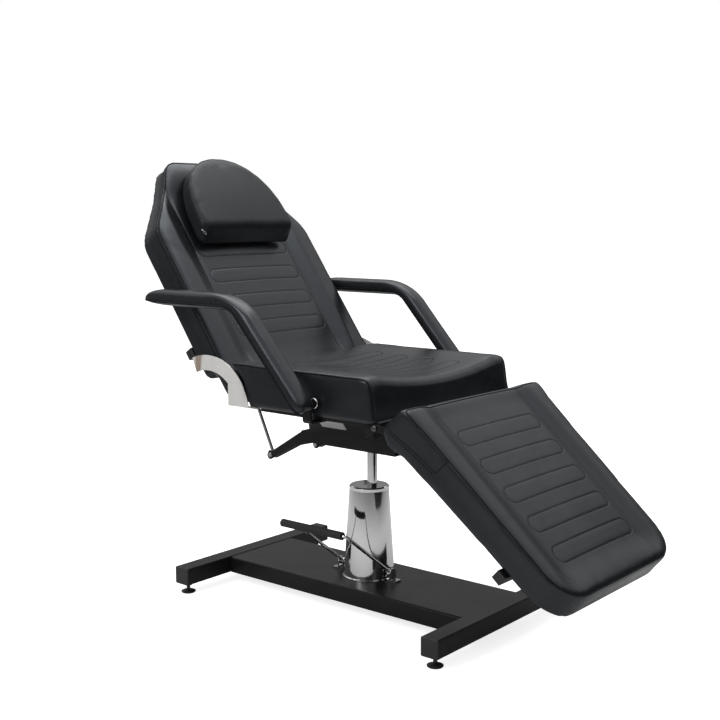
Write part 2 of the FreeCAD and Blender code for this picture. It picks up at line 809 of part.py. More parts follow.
for hand in (-1, 1):
    mid = q.cross_tube_half_length + q.lug_thickness / 2
    sk = new_sketch(body, "YZ_Plane", sized(hand) * mid)
    boss = q.leg_boss_diameter / 2
    back = q.cross_tube_y + tube / 2
    draw(sk, [(q.leg_y, q.leg_z - boss, boss, 1), (back, tube_low), (back, board_low),
              (q.leg_y, q.leg_z + boss), (q.leg_y - boss, q.leg_z, boss, 1)])
    pad(body, sk, q.lug_thickness)
sk = new_sketch(body, "YZ_Plane")
draw_circle(sk, q.recline_y, q.recline_z, q.hinge_pin_diameter / 2 + q.hinge_fit)
pocket(body, sk, 4 * q.rail_centre)
sk = new_sketch(body, "YZ_Plane")
draw_circle(sk, q.leg_y, q.leg_z, q.leg_pin_diameter / 2)
pocket(body, sk, 4 * q.cross_tube_half_length)
place(body)

for side, hand in SIDES:
    # the recline hinge pins pass through the rail's ear and the backrest's arm
    body = new_body("recline_pin_" + side)
    sk = new_sketch(body, "XZ_Plane")
    r = q.hinge_pin_diameter / 2
    head = q.pin_head_diameter / 2
    shaft = q.hinge_ear_thickness + q.lug_thickness + 3 * q.side_gap
    c = q.ram_chamfer
    draw(sk, [(ZERO, ZERO), (head - c, ZERO), (head, c), (head, q.pin_head_height),
              (r, q.pin_head_height), (r, q.pin_head_height + shaft),
              (r - c, q.pin_head_height + shaft + c), (ZERO, q.pin_head_height + shaft + c)])
    turn(body, sk)
    start = q.rail_centre - q.hinge_ear_thickness / 2 - q.pin_head_height - q.hinge_fit
    place(body, hand * start, q.recline_y, q.recline_z, AXIS_Y, hand * q.quarter_turn)

    # the leg rest's hinge bolts, whose heads show outside its ears
    body = new_body("leg_bolt_" + side)
    sk = new_sketch(body, "XZ_Plane")
    r = q.leg_pin_diameter / 2
    head = r + q.pin_head_height / 2
    shaft = 2 * q.lug_thickness + 2 * q.side_gap
    draw(sk, [(ZERO, -shaft), (r, -shaft), (r, ZERO), (head, ZERO),
              (head, q.pin_head_height - r / 3), (head - r / 3, q.pin_head_height),
              (ZERO, q.pin_head_height)])
    turn(body, sk)
    start = q.cross_tube_half_length + shaft
    place(body, hand * start, q.leg_y, q.leg_z, AXIS_Y, hand * q.quarter_turn)

    # arms that reach back and down to the struts, folded and open below
    body = new_body("strut_arm_" + side)
    w = q.strut_arm_width
    t = q.strut_arm_sheet
    low_y, low_z = q.strut_low_y, q.strut_low_z
    ear = q.strut_eye_diameter / 2 + t
    floor = q.pan_bottom + q.pan_sheet
    top_z = floor + 2 * ear + q.side_gap
    crest_y = q.strut_arm_crest_y
    knee_y, knee_z = q.strut_arm_knee_y, q.strut_arm_knee_z
    sk = new_sketch(body, "YZ_Plane")
    run_y = low_y - q.pan_floor_rear
    fall = floor - low_z
    tail_a = run_y / 4
    draw(sk, [(tail_a, floor), (q.pan_floor_rear, floor), (knee_y, knee_z),
              (low_y - ear, low_z - ear / 2), (low_y, low_z - ear),
              (low_y + ear, low_z, ear, 1), (low_y + ear / 2, low_z + ear),
              (low_y - ear / 3, low_z + ear), (crest_y, top_z), (tail_a, top_z)])
    pad(body, sk, w)
    bevel_edges(body, t, lambda e: e.Length > 4 and abs(e.BoundBox.XLength) < 0.01
                and e.BoundBox.ZMin > low_z.value + ear.value
                and abs(abs(e.BoundBox.XMax) - w.value / 2) < 0.01
                and e.BoundBox.YMin > tail_a.value - 1 and e.BoundBox.YLength > 4)
    sk = new_sketch(body, "YZ_Plane")
    over = q.overrun
    draw(sk, [(tail_a - over, floor + 2 * t), (q.pan_floor_rear, floor - over),
              (knee_y, knee_z - over), (low_y - ear, low_z - ear - over),
              (low_y + ear + over, low_z - ear - over),
              (low_y + ear + over, low_z + 2 * ear), (low_y - ear / 2, low_z + 2 * ear),
              (low_y - ear / 2, low_z + ear - t), (crest_y - t / 2, top_z - t),
              (tail_a - over, top_z - t)])
    pocket(body, sk, w - 2 * t)
    sk = new_sketch(body, "YZ_Plane")
    draw_circle(sk, low_y, low_z, q.strut_pin_diameter / 2)
    pocket(body, sk, 2 * w)
    place(body, hand * q.strut_centre)

    body = new_body("strut_pin_" + side)
    sk = new_sketch(body, "XZ_Plane")
    r = q.strut_pin_diameter / 2
    head = r + q.pin_head_height / 2
    tall = w / 2
    grip = r / 2 + q.hinge_fit
    draw(sk, [(ZERO, -tall - grip - r), (head, -tall - grip - r), (head, -tall - q.hinge_fit),
              (r, -tall - q.hinge_fit), (r, tall + q.hinge_fit), (head, tall + q.hinge_fit),
              (head, tall + grip), (head - r / 2, tall + grip + r / 2),
              (ZERO, tall + grip + r / 2)])
    turn(body, sk)
    place(body, hand * q.strut_centre, low_y, low_z, AXIS_Y, hand * q.quarter_turn)

# Seat: a board on the frame and its cushion

body = new_body("seat_board")
sk = new_sketch(body, "XY_Plane", board_low)
half = q.seat_board_half_width
draw(sk, box_points(-half, half, q.seat_board_front, q.seat_board_rear, q.seat_corner / 2))
pad(body, sk, q.board_thickness, "One side")
place(body)

# Cushions are lofts through rounded outlines, set in from the widest one as
# the leather rolls over its edges. These shares of the roll's radius give the
# depth of each outline and how far it is set in.
ROLL_SHARES = [(0, 1), (0.134, 0.5), (0.5, 0.134), (1, 0)]
PLAIN_ROLL_SHARES = [(0, 1), (0.293, 0.293), (1, 0)]
CROWN_SHARE = 0.55
# how far up a half moon its sides stay straight, how wide its top is, its rounding
MOON_SHARES = (0.55, 0.48, 0.72)


def move_in(points, radii, step):
    """The outline with every side moved inwards; the points run to the left."""
    moved, rounded = [], []
    count = len(points)
    for i in range(count):
        before, here, after = points[i - 1], points[i], points[(i + 1) % count]
        a = V(here[0] - before[0], here[1] - before[1], 0).normalize()
        b = V(after[0] - here[0], after[1] - here[1], 0).normalize()
        share = step / (1 + a.dot(b))
        moved.append((here[0] - (a.y + b.y) * share, here[1] + (a.x + b.x) * share))
        left = a.x * b.y - a.y * b.x > 0
        rounded.append(max(radii[i] - step, radii[i] / 3) if left else radii[i] + step)
    return moved, rounded


def rounded_wire(points, radii, lay):
    """A closed wire of lines and tangent arcs; lay turns a point into a place."""
    edges = []
    ends = []
    count = len(points)
    for i in range(count):
        here = V(points[i][0], points[i][1], 0)
        before = V(points[i - 1][0], points[i - 1][1], 0)
        after = V(points[(i + 1) % count][0], points[(i + 1) % count][1], 0)
        a = (here - before).normalize()
        b = (after - here).normalize()
        half = math.acos(max(-1, min(1, a.dot(b)))) / 2
        reach = radii[i] * math.tan(half)
        start, end = here - a * reach, here + b * reach
        middle = here + (b - a).normalize() * (radii[i] / math.cos(half) - radii[i])
        ends.append((start, middle, end))
    for i in range(count):
        start, middle, end = ends[i]
        follow = ends[(i + 1) % count][0]
        edges.append(Part.Arc(lay(start), lay(middle), lay(end)).toShape())
        edges.append(Part.LineSegment(lay(end), lay(follow)).toShape())
    return Part.Wire(edges)


def stacked(levels):
    """A solid loft through levels of (points, radii, lay)."""
    return Part.makeLoft([rounded_wire(*level) for level in levels], True, True)


def cushion_steps(thickness, roll, crown, crown_run, draw_in, back_roll):
    """Pairs of (depth, set in) from the crown down to the back of a cushion."""
    steps = []
    if crown > 0:
        steps.append((0, roll + crown_run))
        steps.append((crown * CROWN_SHARE, roll + crown_run / 3))
    for depth_share, in_share in ROLL_SHARES:
        steps.append((crown + roll * depth_share, roll * in_share))
    middle = (crown + roll + thickness - back_roll) / 2
    steps.append((middle, draw_in))
    for depth_share, in_share in reversed(PLAIN_ROLL_SHARES):
        steps.append((thickness - back_roll * depth_share, back_roll * in_share))
    return steps


def hollow(half, depth, low, high, end_run, extra=0):
    """The shallow hollow of a cushion's face, which lies at zero and faces up. It
    is part of a cylinder along Y whose ends rise to the face over a run."""
    radius = (half * half + depth * depth) / (2 * depth)
    round_cut = Part.makeCylinder(radius + extra, high - low, V(0, low, radius - depth), AXIS_Y)
    deep, over = -depth - extra, n.overrun
    side = [V(-half - over, low, over), V(-half - over, low, 0),
            V(-half - over, low + end_run, deep), V(-half - over, high - end_run, deep),
            V(-half - over, high, 0), V(-half - over, high, over)]
    if not end_run:
        side = [side[0], side[2], side[3], side[5]]
    prism = Part.Face(Part.makePolygon(side + side[:1])).extrude(V(2 * (half + over), 0, 0))
    return round_cut.common(prism)


def pill(low, high, half):
    """A face with straight long sides and half round ends."""
    r = (high - low) / 2
    corners = [V(r - half, low, 0), V(half - r, low, 0), V(half - r, high, 0), V(r - half, high, 0)]
    edges = [Part.LineSegment(corners[0], corners[1]).toShape(),
             Part.Arc(corners[1], V(half, low + r, 0), corners[2]).toShape(),
             Part.LineSegment(corners[2], corners[3]).toShape(),
             Part.Arc(corners[3], V(-half, low + r, 0), corners[0]).toShape()]
    return Part.Face(Part.Wire(edges))


def channels(count, first, pitch, half_width, depth):
    """The sewn channels of a hollow face: narrow grooves along pill outlines."""
    side = n.channel_width / 2
    half = n.channel_half_length
    deep = depth + n.channel_depth
    rings = []
    while len(rings) < count:
        low = first + len(rings) * pitch
        high = low + n.channel_height
        ring = pill(low - side, high + side, half + side)
        ring = ring.cut(pill(low + side, high - side, half - side))
        ring.translate(V(0, 0, -2 * deep))
        rings.append(ring.extrude(V(0, 0, 4 * deep)))
    ends = sorted([first, first + count * pitch])
    room = abs(pitch)
    bed = hollow(half_width, depth, ends[0] - room, ends[1] + room, 0, n.channel_depth)
    return Part.makeCompound([ring.common(bed) for ring in rings])


n = Table()
for alias, text in SIZES:
    setattr(n, alias, getattr(q, alias).value)


def soft(name, shape):
    piece = doc.addObject("Part::Feature", name)
    piece.Shape = shape
    return keep(piece, name)


# Seat cushion, dished across, whose rear face follows the backrest's sweep
steps = cushion_steps(n.seat_top - n.seat_bottom, n.cushion_roll, 0, 0, n.cushion_draw,
                      n.cushion_roll / 3)
levels = []
slope = (n.seat_front_bottom - n.seat_front_top) / (n.seat_top - n.seat_bottom)
for depth, inset in steps:
    z = n.seat_top - depth
    rear = n.recline_y - math.sqrt(n.seat_rear_radius ** 2 - (z - n.recline_z) ** 2)
    front = n.seat_front_top + slope * depth
    half = n.seat_half_width
    points = [(-half, front), (half, front), (half, rear), (-half, rear)]
    radii = [n.seat_corner + n.cushion_roll] * 2 + [n.cushion_roll] * 2
    points, radii = move_in(points, radii, inset)
    levels.append((points, radii, lambda p, z=z: V(p.x, p.y, z)))
whole = stacked(levels)
face = V(0, 0, n.seat_top)
dish = hollow(n.dish_half_width, n.dish_depth, -n.base_length / 2, n.base_length / 2, 0)
dish.translate(face)
# the dish's front edge is eased by the same hollow at half a right angle
ease = hollow(n.dish_half_width, n.dish_depth * math.sqrt(0.5), -n.dish_depth * 2,
              n.dish_depth * 2, 0)
ease.rotate(V(0, 0, 0), AXIS_X, n.quarter_turn / 2)
drop = n.dish_bevel * math.sqrt(0.5)
ease.translate(V(0, n.seat_front_top + drop, n.seat_top - drop))
grooves = channels(4, n.seat_channel_start, n.channel_pitch, n.dish_half_width, n.dish_depth)
grooves.translate(face)
whole = whole.cut(dish).cut(ease).cut(grooves)
place(soft("seat_cushion", whole))


# Backrest: cushion, board, frame, guards. Points are (across, along), from the
# hinge; the depth behind the front plane runs along the local Y.

rise = n.back_pivot_height
steps = cushion_steps(n.back_thickness, n.cushion_roll, n.cushion_crown,
                      n.cushion_crown_run, n.cushion_draw, n.cushion_roll / 3)


def back_outline(foot):
    """The backrest's outline, its lower edge at the given height."""
    wide = n.back_half_width
    right = [(wide, foot), (wide, n.back_shoulder + rise),
             (n.back_temple_half_width, n.back_temple + rise),
             (n.back_top_half_width + n.back_corner / 3, n.back_length + rise)]
    radii = [n.cushion_roll, n.back_corner, n.back_corner, n.back_corner]
    left = [(-x, z) for x, z in reversed(right)]
    return right + left, radii + radii[::-1]


levels = []
for depth, inset in steps:
    foot = n.back_foot - n.back_foot_height * (1 - depth / n.back_thickness) + rise
    points, radii = move_in(*back_outline(foot), inset)
    y = depth - n.back_pivot_depth
    levels.append((points, radii, lambda p, y=y: V(p.x, y, p.y)))
whole = stacked(levels)

# the lip that reaches down between the seat and the hinge
wide = n.back_half_width
roll = n.cushion_roll / 2
lip = []
steps = [(roll * depth, roll * inset) for depth, inset in PLAIN_ROLL_SHARES]
steps += [(n.back_lip_depth - step, inset) for step, inset in reversed(steps)]
for step, inset in steps:
    depth = n.cushion_crown + step * (1 - n.cushion_crown / n.back_lip_depth)
    foot = rise - n.back_lip_end + n.back_lip_rake * depth / n.back_lip_depth
    points = [(-wide, foot), (wide, foot), (wide, n.back_channel_start),
              (-wide, n.back_channel_start)]
    points, radii = move_in(points, [roll * 3] * 4, inset)
    y = depth - n.back_pivot_depth
    lip.append((points, radii, lambda p, y=y: V(p.x, y, p.y)))
whole = whole.fuse(stacked(lip)).removeSplitter()

# the back slopes forward above the taper's start
top_z = n.back_length + rise
start_z = n.back_taper_start + rise
back_y = n.back_thickness - n.back_pivot_depth
thin_y = n.back_top_thickness - n.back_pivot_depth
far_y = back_y + n.overrun
wedge = Part.makePolygon([V(0, back_y, start_z), V(0, far_y, start_z), V(0, far_y, top_z),
                          V(0, thin_y, top_z), V(0, back_y, start_z)])
wedge = Part.Face(wedge).extrude(V(2 * wide + 2 * n.overrun, 0, 0))
wedge.translate(V(-wide - n.overrun, 0, 0))
whole = whole.cut(wedge)

# the board let into the cushion's back
margin = n.back_board_margin
board_y = back_y - n.back_board_thickness
thin_board_y = thin_y - n.back_board_thickness


def back_board(room):
    """The board, or with room added the recess that takes it."""
    points, radii = move_in(*back_outline(n.back_foot + rise), margin - room)
    flat = rounded_wire(points, radii, lambda p: V(p.x, -n.back_pivot_depth, p.y))
    block = Part.Face(flat).extrude(V(0, 2 * n.back_thickness, 0))
    side = Part.makePolygon([
        V(0, board_y - room, rise - n.overrun), V(0, back_y + room, rise - n.overrun),
        V(0, back_y + room, start_z), V(0, thin_y + room, top_z),
        V(0, thin_board_y - room, top_z), V(0, board_y - room, start_z),
        V(0, board_y - room, rise - n.overrun)])
    strip = Part.Face(side).extrude(V(2 * wide, 0, 0))
    strip.translate(V(-wide, 0, 0))
    return block.common(strip)


board = back_board(0)
whole = whole.cut(back_board(n.seat_fit))
first = n.back_channel_start + rise
panel = hollow(n.panel_half_width, n.panel_depth, first - n.channel_height,
               first + 5 * n.channel_pitch + n.panel_end_run, n.panel_end_run)
grooves = channels(5, first, n.channel_pitch, n.panel_half_width, n.panel_depth)
for cut in (panel, grooves):
    cut.rotate(V(0, 0, 0), AXIS_X, n.quarter_turn)
    cut.translate(V(0, -n.back_pivot_depth, 0))
    whole = whole.cut(cut)
place_back(soft("back_cushion", whole))
place_back(soft("back_board", board))

body = new_body("back_frame")
sk = new_sketch(body, "YZ_Plane")
tube = q.cross_tube_size
wall = q.small_tube_wall
back_plane = q.back_thickness - q.back_pivot_depth
tube_z = q.back_tube_place + q.back_pivot_height
low, high = tube_z - tube / 2, tube_z + tube / 2
draw(sk, box_points(back_plane, back_plane + tube, low, high))
draw(sk, box_points(back_plane + wall, back_plane + tube - wall, low + wall, high - wall))
pad(body, sk, 2 * q.back_tube_half_length)
boss = q.hinge_boss_diameter / 2
arm_mid = q.rail_centre + q.hinge_ear_thickness / 2 + q.side_gap + q.lug_thickness / 2
for way in (-1, 1):
    # hinge arm from the tube down to the pin
    sk = new_sketch(body, "YZ_Plane", sized(way) * arm_mid)
    draw(sk, [(-boss, ZERO), (ZERO, -boss, boss, 1), (boss, ZERO, boss, 1),
              (back_plane + tube, low), (back_plane + tube, low + wall),
              (back_plane, low + wall), (back_plane, low)])
    pad(body, sk, q.lug_thickness)
    # the clevis that carries the strut's upper end
    for edge in (-1, 1):
        plate = q.strut_centre + edge * (q.strut_eye_width + q.lug_thickness) / 2 \
            + edge * q.seat_fit
        sk = new_sketch(body, "YZ_Plane", sized(way) * plate)
        eye = q.strut_eye_diameter / 2
        draw(sk, [(-eye, q.strut_high), (ZERO, q.strut_high - eye, eye, 1),
                  (eye, q.strut_high, eye, 1), (back_plane + tube, low + wall),
                  (back_plane + wall, low + wall)])
        pad(body, sk, q.lug_thickness)
    sk = new_sketch(body, "YZ_Plane", sized(way) * q.strut_centre)
    draw_circle(sk, ZERO, q.strut_high, q.strut_pin_diameter / 2)
    pad(body, sk, q.strut_eye_width + 3 * q.lug_thickness)
sk = new_sketch(body, "YZ_Plane")
draw_circle(sk, ZERO, ZERO, q.hinge_pin_diameter / 2 + q.hinge_fit)
pocket(body, sk, 4 * q.rail_centre)
place_back(body)

for side, hand in SIDES:
    for group, mount, place_it in (
            ("back", (back_plane + tube / 2, tube_z, q.back_tube_half_length), place_back),
            ("leg", (-(q.leg_tube_place - q.leg_pivot_run),
                     q.leg_pivot_drop - q.leg_thickness - q.leg_rail_thickness
                     - q.cross_tube_size / 2, q.leg_tube_half_length), place_leg)):
        body = new_body("%s_tube_plug_%s" % (group, side))
        mid_y, mid_z, reach = mount
        for half, length, out in ((tube / 2, q.plug_thickness, hand > 0),
                                  (tube / 2 - wall - q.hinge_fit, q.plug_stub, hand < 0)):
            sk = new_sketch(body, "YZ_Plane", sized(hand) * reach)
            draw(sk, box_points(mid_y - half, mid_y + half, mid_z - half, mid_z + half))
            pad(body, sk, length, "One side", not out)
        outer = reach.value + q.plug_thickness.value
        bevel_edges(body, q.end_cap_bevel,
                    lambda e: abs(abs(e.BoundBox.XMin) - outer) < 0.01
                    and abs(abs(e.BoundBox.XMax) - outer) < 0.01)
        place_it(body)

    # the polished guard that turns with the backrest
    body = new_body("back_guard_" + side)
    inner_face = q.back_half_width + q.side_gap
    sk = new_sketch(body, "YZ_Plane", sized(hand) * (inner_face + q.guard_thickness / 2))
    # the guard's angles are measured in the chair's upright frame
    lean_back = q.recline_angle
    first = q.guard_start_angle + lean_back
    last = q.guard_end_angle + lean_back
    half_way = (first + last) / 2
    big, small = q.guard_outer_radius, q.guard_inner_radius
    draw(sk, [(small * cos_of(first), small * sin_of(first)),
              (big * cos_of(first), big * sin_of(first)),
              (big * cos_of(half_way), big * sin_of(half_way), big, 1),
              (big * cos_of(last), big * sin_of(last), big, 1),
              (small * cos_of(last), small * sin_of(last)),
              (small * cos_of(half_way), small * sin_of(half_way), small, -1),
              (small * cos_of(first), small * sin_of(first), small, -1)][1:])
    pad(body, sk, q.guard_thickness)
    place_back(body)

    # the guard that stands on the seat board, outside the turning one
    body = new_body("seat_guard_" + side)
    outer_mid = inner_face + q.guard_thickness + q.side_gap + q.guard_thickness / 2
    sk = new_sketch(body, "YZ_Plane", sized(hand) * outer_mid)
    arc = q.seat_rear_radius
    guard_low = q.seat_bottom - 2 * q.guard_thickness
    up_low = guard_low - q.recline_z
    up_high = arc * q.seat_guard_crease_share
    guard_high = q.recline_z + up_high
    front_low = q.recline_y - root_of(arc * arc - up_low * up_low)
    front_high = q.recline_y - root_of(arc * arc - up_high * up_high)
    draw(sk, [(q.seat_guard_rear, guard_low), (q.seat_guard_rear, guard_high),
              (front_high, guard_high), (front_low, guard_low, arc, 1)])
    pad(body, sk, q.guard_thickness)
    out = outer_mid + q.guard_thickness / 2
    back_y = q.recline_y - root_of(big * big - up_low * up_low) + 2 * q.overrun
    sk = new_sketch(body, "XY_Plane", guard_low)
    near = q.seat_board_half_width + q.seat_fit
    low_x, high_x = (near, out) if hand > 0 else (-out, -near)
    draw(sk, box_points(low_x, high_x, front_low - q.seat_guard_flange, back_y))
    pad(body, sk, q.guard_thickness, "One side")
    place(body)

    # the bent flat bar that carries the armrest, its bolt and its collar
    body = new_body("arm_bracket_" + side)
    t = q.arm_bracket_thickness
    top_x = q.arm_inner - q.seat_fit
    low_z = q.seat_bottom - q.board_thickness - t - q.seat_fit
    inner_x = q.seat_board_half_width - q.arm_bracket_reach
    sk = new_sketch(body, "XZ_Plane", -q.arm_bracket_y)
    h = sized(hand)
    half = q.arm_bracket_width / 2
    peak = q.arm_bolt_z + half
    draw(sk, [(h * inner_x, low_z), (h * (top_x - 2 * t), low_z),
              (h * top_x, low_z + 2 * t, 2 * t, hand), (h * top_x, peak),
              (h * (top_x - t), peak), (h * (top_x - t), low_z + 2 * t),
              (h * (top_x - 2 * t), low_z + t, t, -hand), (h * inner_x, low_z + t)])
    pad(body, sk, q.arm_bracket_width)
    sk = new_sketch(body, "YZ_Plane", h * (top_x - t))
    draw_circle(sk, q.arm_bolt_y, q.arm_bolt_z, q.arm_collar_diameter / 2)
    pad(body, sk, 2 * t)
    place(body)

# Armrests: the padded bar's side view, in from both faces

slope = math.radians(n.arm_angle)
run, climb = math.cos(slope), math.sin(slope)
thick = n.arm_thickness
lean_run = run / climb
foot_y = n.arm_bend_y - (n.arm_top - n.arm_foot_z) * lean_run
heel_y, heel_z = foot_y + thick * climb, n.arm_foot_z - thick * run
under = n.arm_top - thick
inner_y = heel_y + (under - heel_z) * lean_run
fall_y = n.arm_rear - n.arm_tip_run - n.arm_end_round
arm_radii = [n.arm_end_round, n.arm_end_round, n.arm_inner_bend,
             n.arm_tip_round, n.arm_tip_round, n.arm_inner_bend, n.arm_outer_bend]


def arm_side(share):
    """The bar's side view, whose rear end runs out to a tip at the bar's middle."""
    tip_y = n.arm_rear - n.arm_tip_run * (1 - share)
    tip_top = n.arm_top - n.arm_tip_drop * (tip_y - fall_y) / (n.arm_rear - fall_y)
    return [(foot_y, n.arm_foot_z), (heel_y, heel_z), (inner_y, under), (tip_y, under),
            (tip_y, tip_top), (fall_y, n.arm_top), (n.arm_bend_y, n.arm_top)]


steps = []
for depth_share, in_share in PLAIN_ROLL_SHARES:
    steps.append((n.arm_roll * depth_share, n.arm_roll * in_share, depth_share / 3))
steps.append((n.arm_width / 4, n.arm_draw, 3 / 4))
steps.append((n.arm_width / 2, n.arm_draw, 1))
for depth, inset, share in reversed(steps[:-1]):
    steps.append((n.arm_width - depth, inset, share))
for side, hand in SIDES:
    levels = []
    for depth, inset, share in steps:
        points, radii = move_in(arm_side(share), arm_radii, inset)
        x = hand * (n.arm_inner + depth)
        levels.append((points, radii, lambda p, x=x: V(x, p.x, p.y)))
    shape = stacked(levels)
    place(soft("armrest_" + side, shape))

# Leg rest: cushion, board and frame, along the local -Y from its hinge

def leg_outline(head):
    """The leg rest's outline; along runs from the hinge to the foot."""
    places = [(n.leg_foot_half_width, n.leg_foot), (n.leg_waist_half_width, n.leg_waist),
              (n.leg_head_half_width, head)]
    radii = [n.leg_foot_corner, n.leg_foot_corner * 2, n.cushion_roll * 1.5]
    right = [(x, n.leg_pivot_run - along) for x, along in places]
    left = [(-x, y) for x, y in reversed(right)]
    return right + left, radii + radii[::-1]


steps = cushion_steps(n.leg_thickness, n.cushion_roll, n.cushion_crown,
                      n.cushion_crown_run, n.cushion_draw, n.cushion_roll / 2)
levels = []
for depth, inset in steps:
    head = n.leg_head - n.leg_head_rake * depth / n.leg_thickness
    points, radii = move_in(*leg_outline(head), inset)
    z = n.leg_pivot_drop - depth
    levels.append((points, radii, lambda p, z=z: V(p.x, p.y, z)))
whole = stacked(levels)
first = n.leg_pivot_run - n.leg_channel_start - n.channel_height
panel = hollow(n.panel_half_width, n.panel_depth,
               first - 4 * n.channel_pitch - n.panel_end_run,
               first + n.channel_height + n.panel_end_run, n.panel_end_run)
grooves = channels(5, first, -n.channel_pitch, n.panel_half_width, n.panel_depth)
for cut in (panel, grooves):
    cut.translate(V(0, 0, n.leg_pivot_drop))
    whole = whole.cut(cut)
under = n.leg_pivot_drop - n.leg_thickness


def leg_board(room):
    """The board, or with room added the recess that takes it."""
    points, radii = move_in(*leg_outline(n.leg_head), n.leg_board_margin - room)
    flat = rounded_wire(points, radii, lambda p: V(p.x, p.y, under))
    return Part.Face(flat).extrude(V(0, 0, n.back_board_thickness + room))


board = leg_board(0)
whole = whole.cut(leg_board(n.seat_fit))
place_leg(soft("leg_cushion", whole))
place_leg(soft("leg_board", board))

body = new_body("leg_frame")
under = q.leg_pivot_drop - q.leg_thickness
rail = q.leg_rail_thickness
tube_mid = q.leg_pivot_run - q.leg_tube_place
half = q.cross_tube_size / 2
sk = new_sketch(body, "YZ_Plane")
draw(sk, box_points(tube_mid - half, tube_mid + half, under - rail - 2 * half, under - rail))
draw(sk, box_points(tube_mid - half + wall, tube_mid + half - wall,
                    under - rail - 2 * half + wall, under - rail - wall))
pad(body, sk, 2 * q.leg_tube_half_length)
ear_in = q.cross_tube_half_length + q.lug_thickness + q.side_gap
boss = q.leg_boss_diameter / 2
head_strip = -(2 * boss + q.leg_rail_width)
for way in (-1, 1):
    # a long rail under the board, from the head strip to the cross tube
    sk = new_sketch(body, "XY_Plane", under - rail)
    middle = sized(way) * q.leg_rail_place
    draw(sk, box_points(middle - q.leg_rail_width / 2, middle + q.leg_rail_width / 2,
                        tube_mid - half, -2 * boss))
    pad(body, sk, rail, "One side")
    sk = new_sketch(body, "YZ_Plane", sized(way) * (ear_in + q.lug_thickness / 2))
    draw(sk, [(ZERO, -boss), (boss, ZERO, boss, 1), (ZERO, boss, boss, 1),
              (-2 * boss, under), (head_strip, under), (head_strip, under - rail)])
    pad(body, sk, q.lug_thickness)
sk = new_sketch(body, "XY_Plane", under - rail)
far = ear_in + q.lug_thickness
draw(sk, box_points(-far, far, head_strip, -2 * boss))
pad(body, sk, rail, "One side")
sk = new_sketch(body, "YZ_Plane")
draw_circle(sk, ZERO, ZERO, q.leg_pin_diameter / 2 + q.hinge_fit)
pocket(body, sk, 4 * ear_in)
place_leg(body)

# Struts: a rod on the frame slides in a tube on the backrest

pivot_high_y = q.recline_y + q.strut_high * sin_of(q.recline_angle)
pivot_high_z = q.recline_z + q.strut_high * cos_of(q.recline_angle)
across = pivot_high_y - q.strut_low_y
up = pivot_high_z - q.strut_low_z
strut_lean = turn_of(across, up)
for side, hand in SIDES:
    eye = q.strut_eye_diameter / 2
    pin = q.strut_pin_diameter / 2 + q.hinge_fit
    body = new_body("strut_rod_" + side)
    sk = new_sketch(body, "XZ_Plane")
    r = q.strut_rod_diameter / 2
    draw(sk, [(ZERO, ZERO), (r, ZERO), (r, q.strut_rod_length - q.side_gap),
              (r - q.side_gap, q.strut_rod_length), (ZERO, q.strut_rod_length)])
    turn(body, sk)
    sk = new_sketch(body, "YZ_Plane")
    draw_circle(sk, ZERO, ZERO, eye)
    pad(body, sk, q.strut_eye_width)
    sk = new_sketch(body, "YZ_Plane")
    draw_circle(sk, ZERO, ZERO, pin)
    pocket(body, sk, 2 * q.strut_eye_width)
    place(body, hand * q.strut_centre, q.strut_low_y, q.strut_low_z, AXIS_X, -strut_lean)

    body = new_body("strut_tube_" + side)
    sk = new_sketch(body, "XZ_Plane")
    r = q.strut_tube_diameter / 2
    bore = q.strut_bore_diameter / 2
    neck = q.strut_neck
    draw(sk, [(ZERO, -neck), (bore, -neck), (bore, -q.strut_tube_length),
              (r - q.side_gap, -q.strut_tube_length),
              (r, q.side_gap - q.strut_tube_length), (r, -neck), (r / 2, -eye / 2),
              (r / 2, ZERO), (ZERO, ZERO)])
    turn(body, sk)
    sk = new_sketch(body, "YZ_Plane")
    draw_circle(sk, ZERO, ZERO, eye)
    pad(body, sk, q.strut_eye_width)
    sk = new_sketch(body, "YZ_Plane")
    draw_circle(sk, ZERO, ZERO, pin)
    pocket(body, sk, 2 * q.strut_eye_width)
    place(body, hand * q.strut_centre, pivot_high_y, pivot_high_z, AXIS_X, -strut_lean)

# Head pillow: a half moon with a flat lower side, in front of the backrest

steps = []
for depth_share, in_share in ROLL_SHARES:
    steps.append((n.pillow_roll * depth_share, n.pillow_roll * in_share))
for depth_share, in_share in reversed(PLAIN_ROLL_SHARES):
    steps.append((n.pillow_thickness - n.pillow_roll * depth_share / 2,
                  n.pillow_roll * in_share / 2))
levels = []
wide = n.pillow_half_width
side_share, top_share, round_share = MOON_SHARES
for depth, inset in steps:
    foot = n.pillow_bottom + n.pillow_bottom_drop * (1 - depth / n.pillow_thickness) + rise
    crown = n.pillow_top + rise
    tall = crown - foot
    points = [(-wide, foot), (wide, foot), (wide, foot + tall * side_share),
              (wide * top_share, crown), (-wide * top_share, crown),
              (-wide, foot + tall * side_share)]
    radii = [n.pillow_corner] * 2 + [wide * round_share] * 4
    points, radii = move_in(points, radii, inset)
    y = depth - n.pillow_thickness - n.back_pivot_depth - n.seat_fit
    levels.append((points, radii, lambda p, y=y: V(p.x, y, p.y)))
place_back(soft("head_pillow", stacked(levels)))

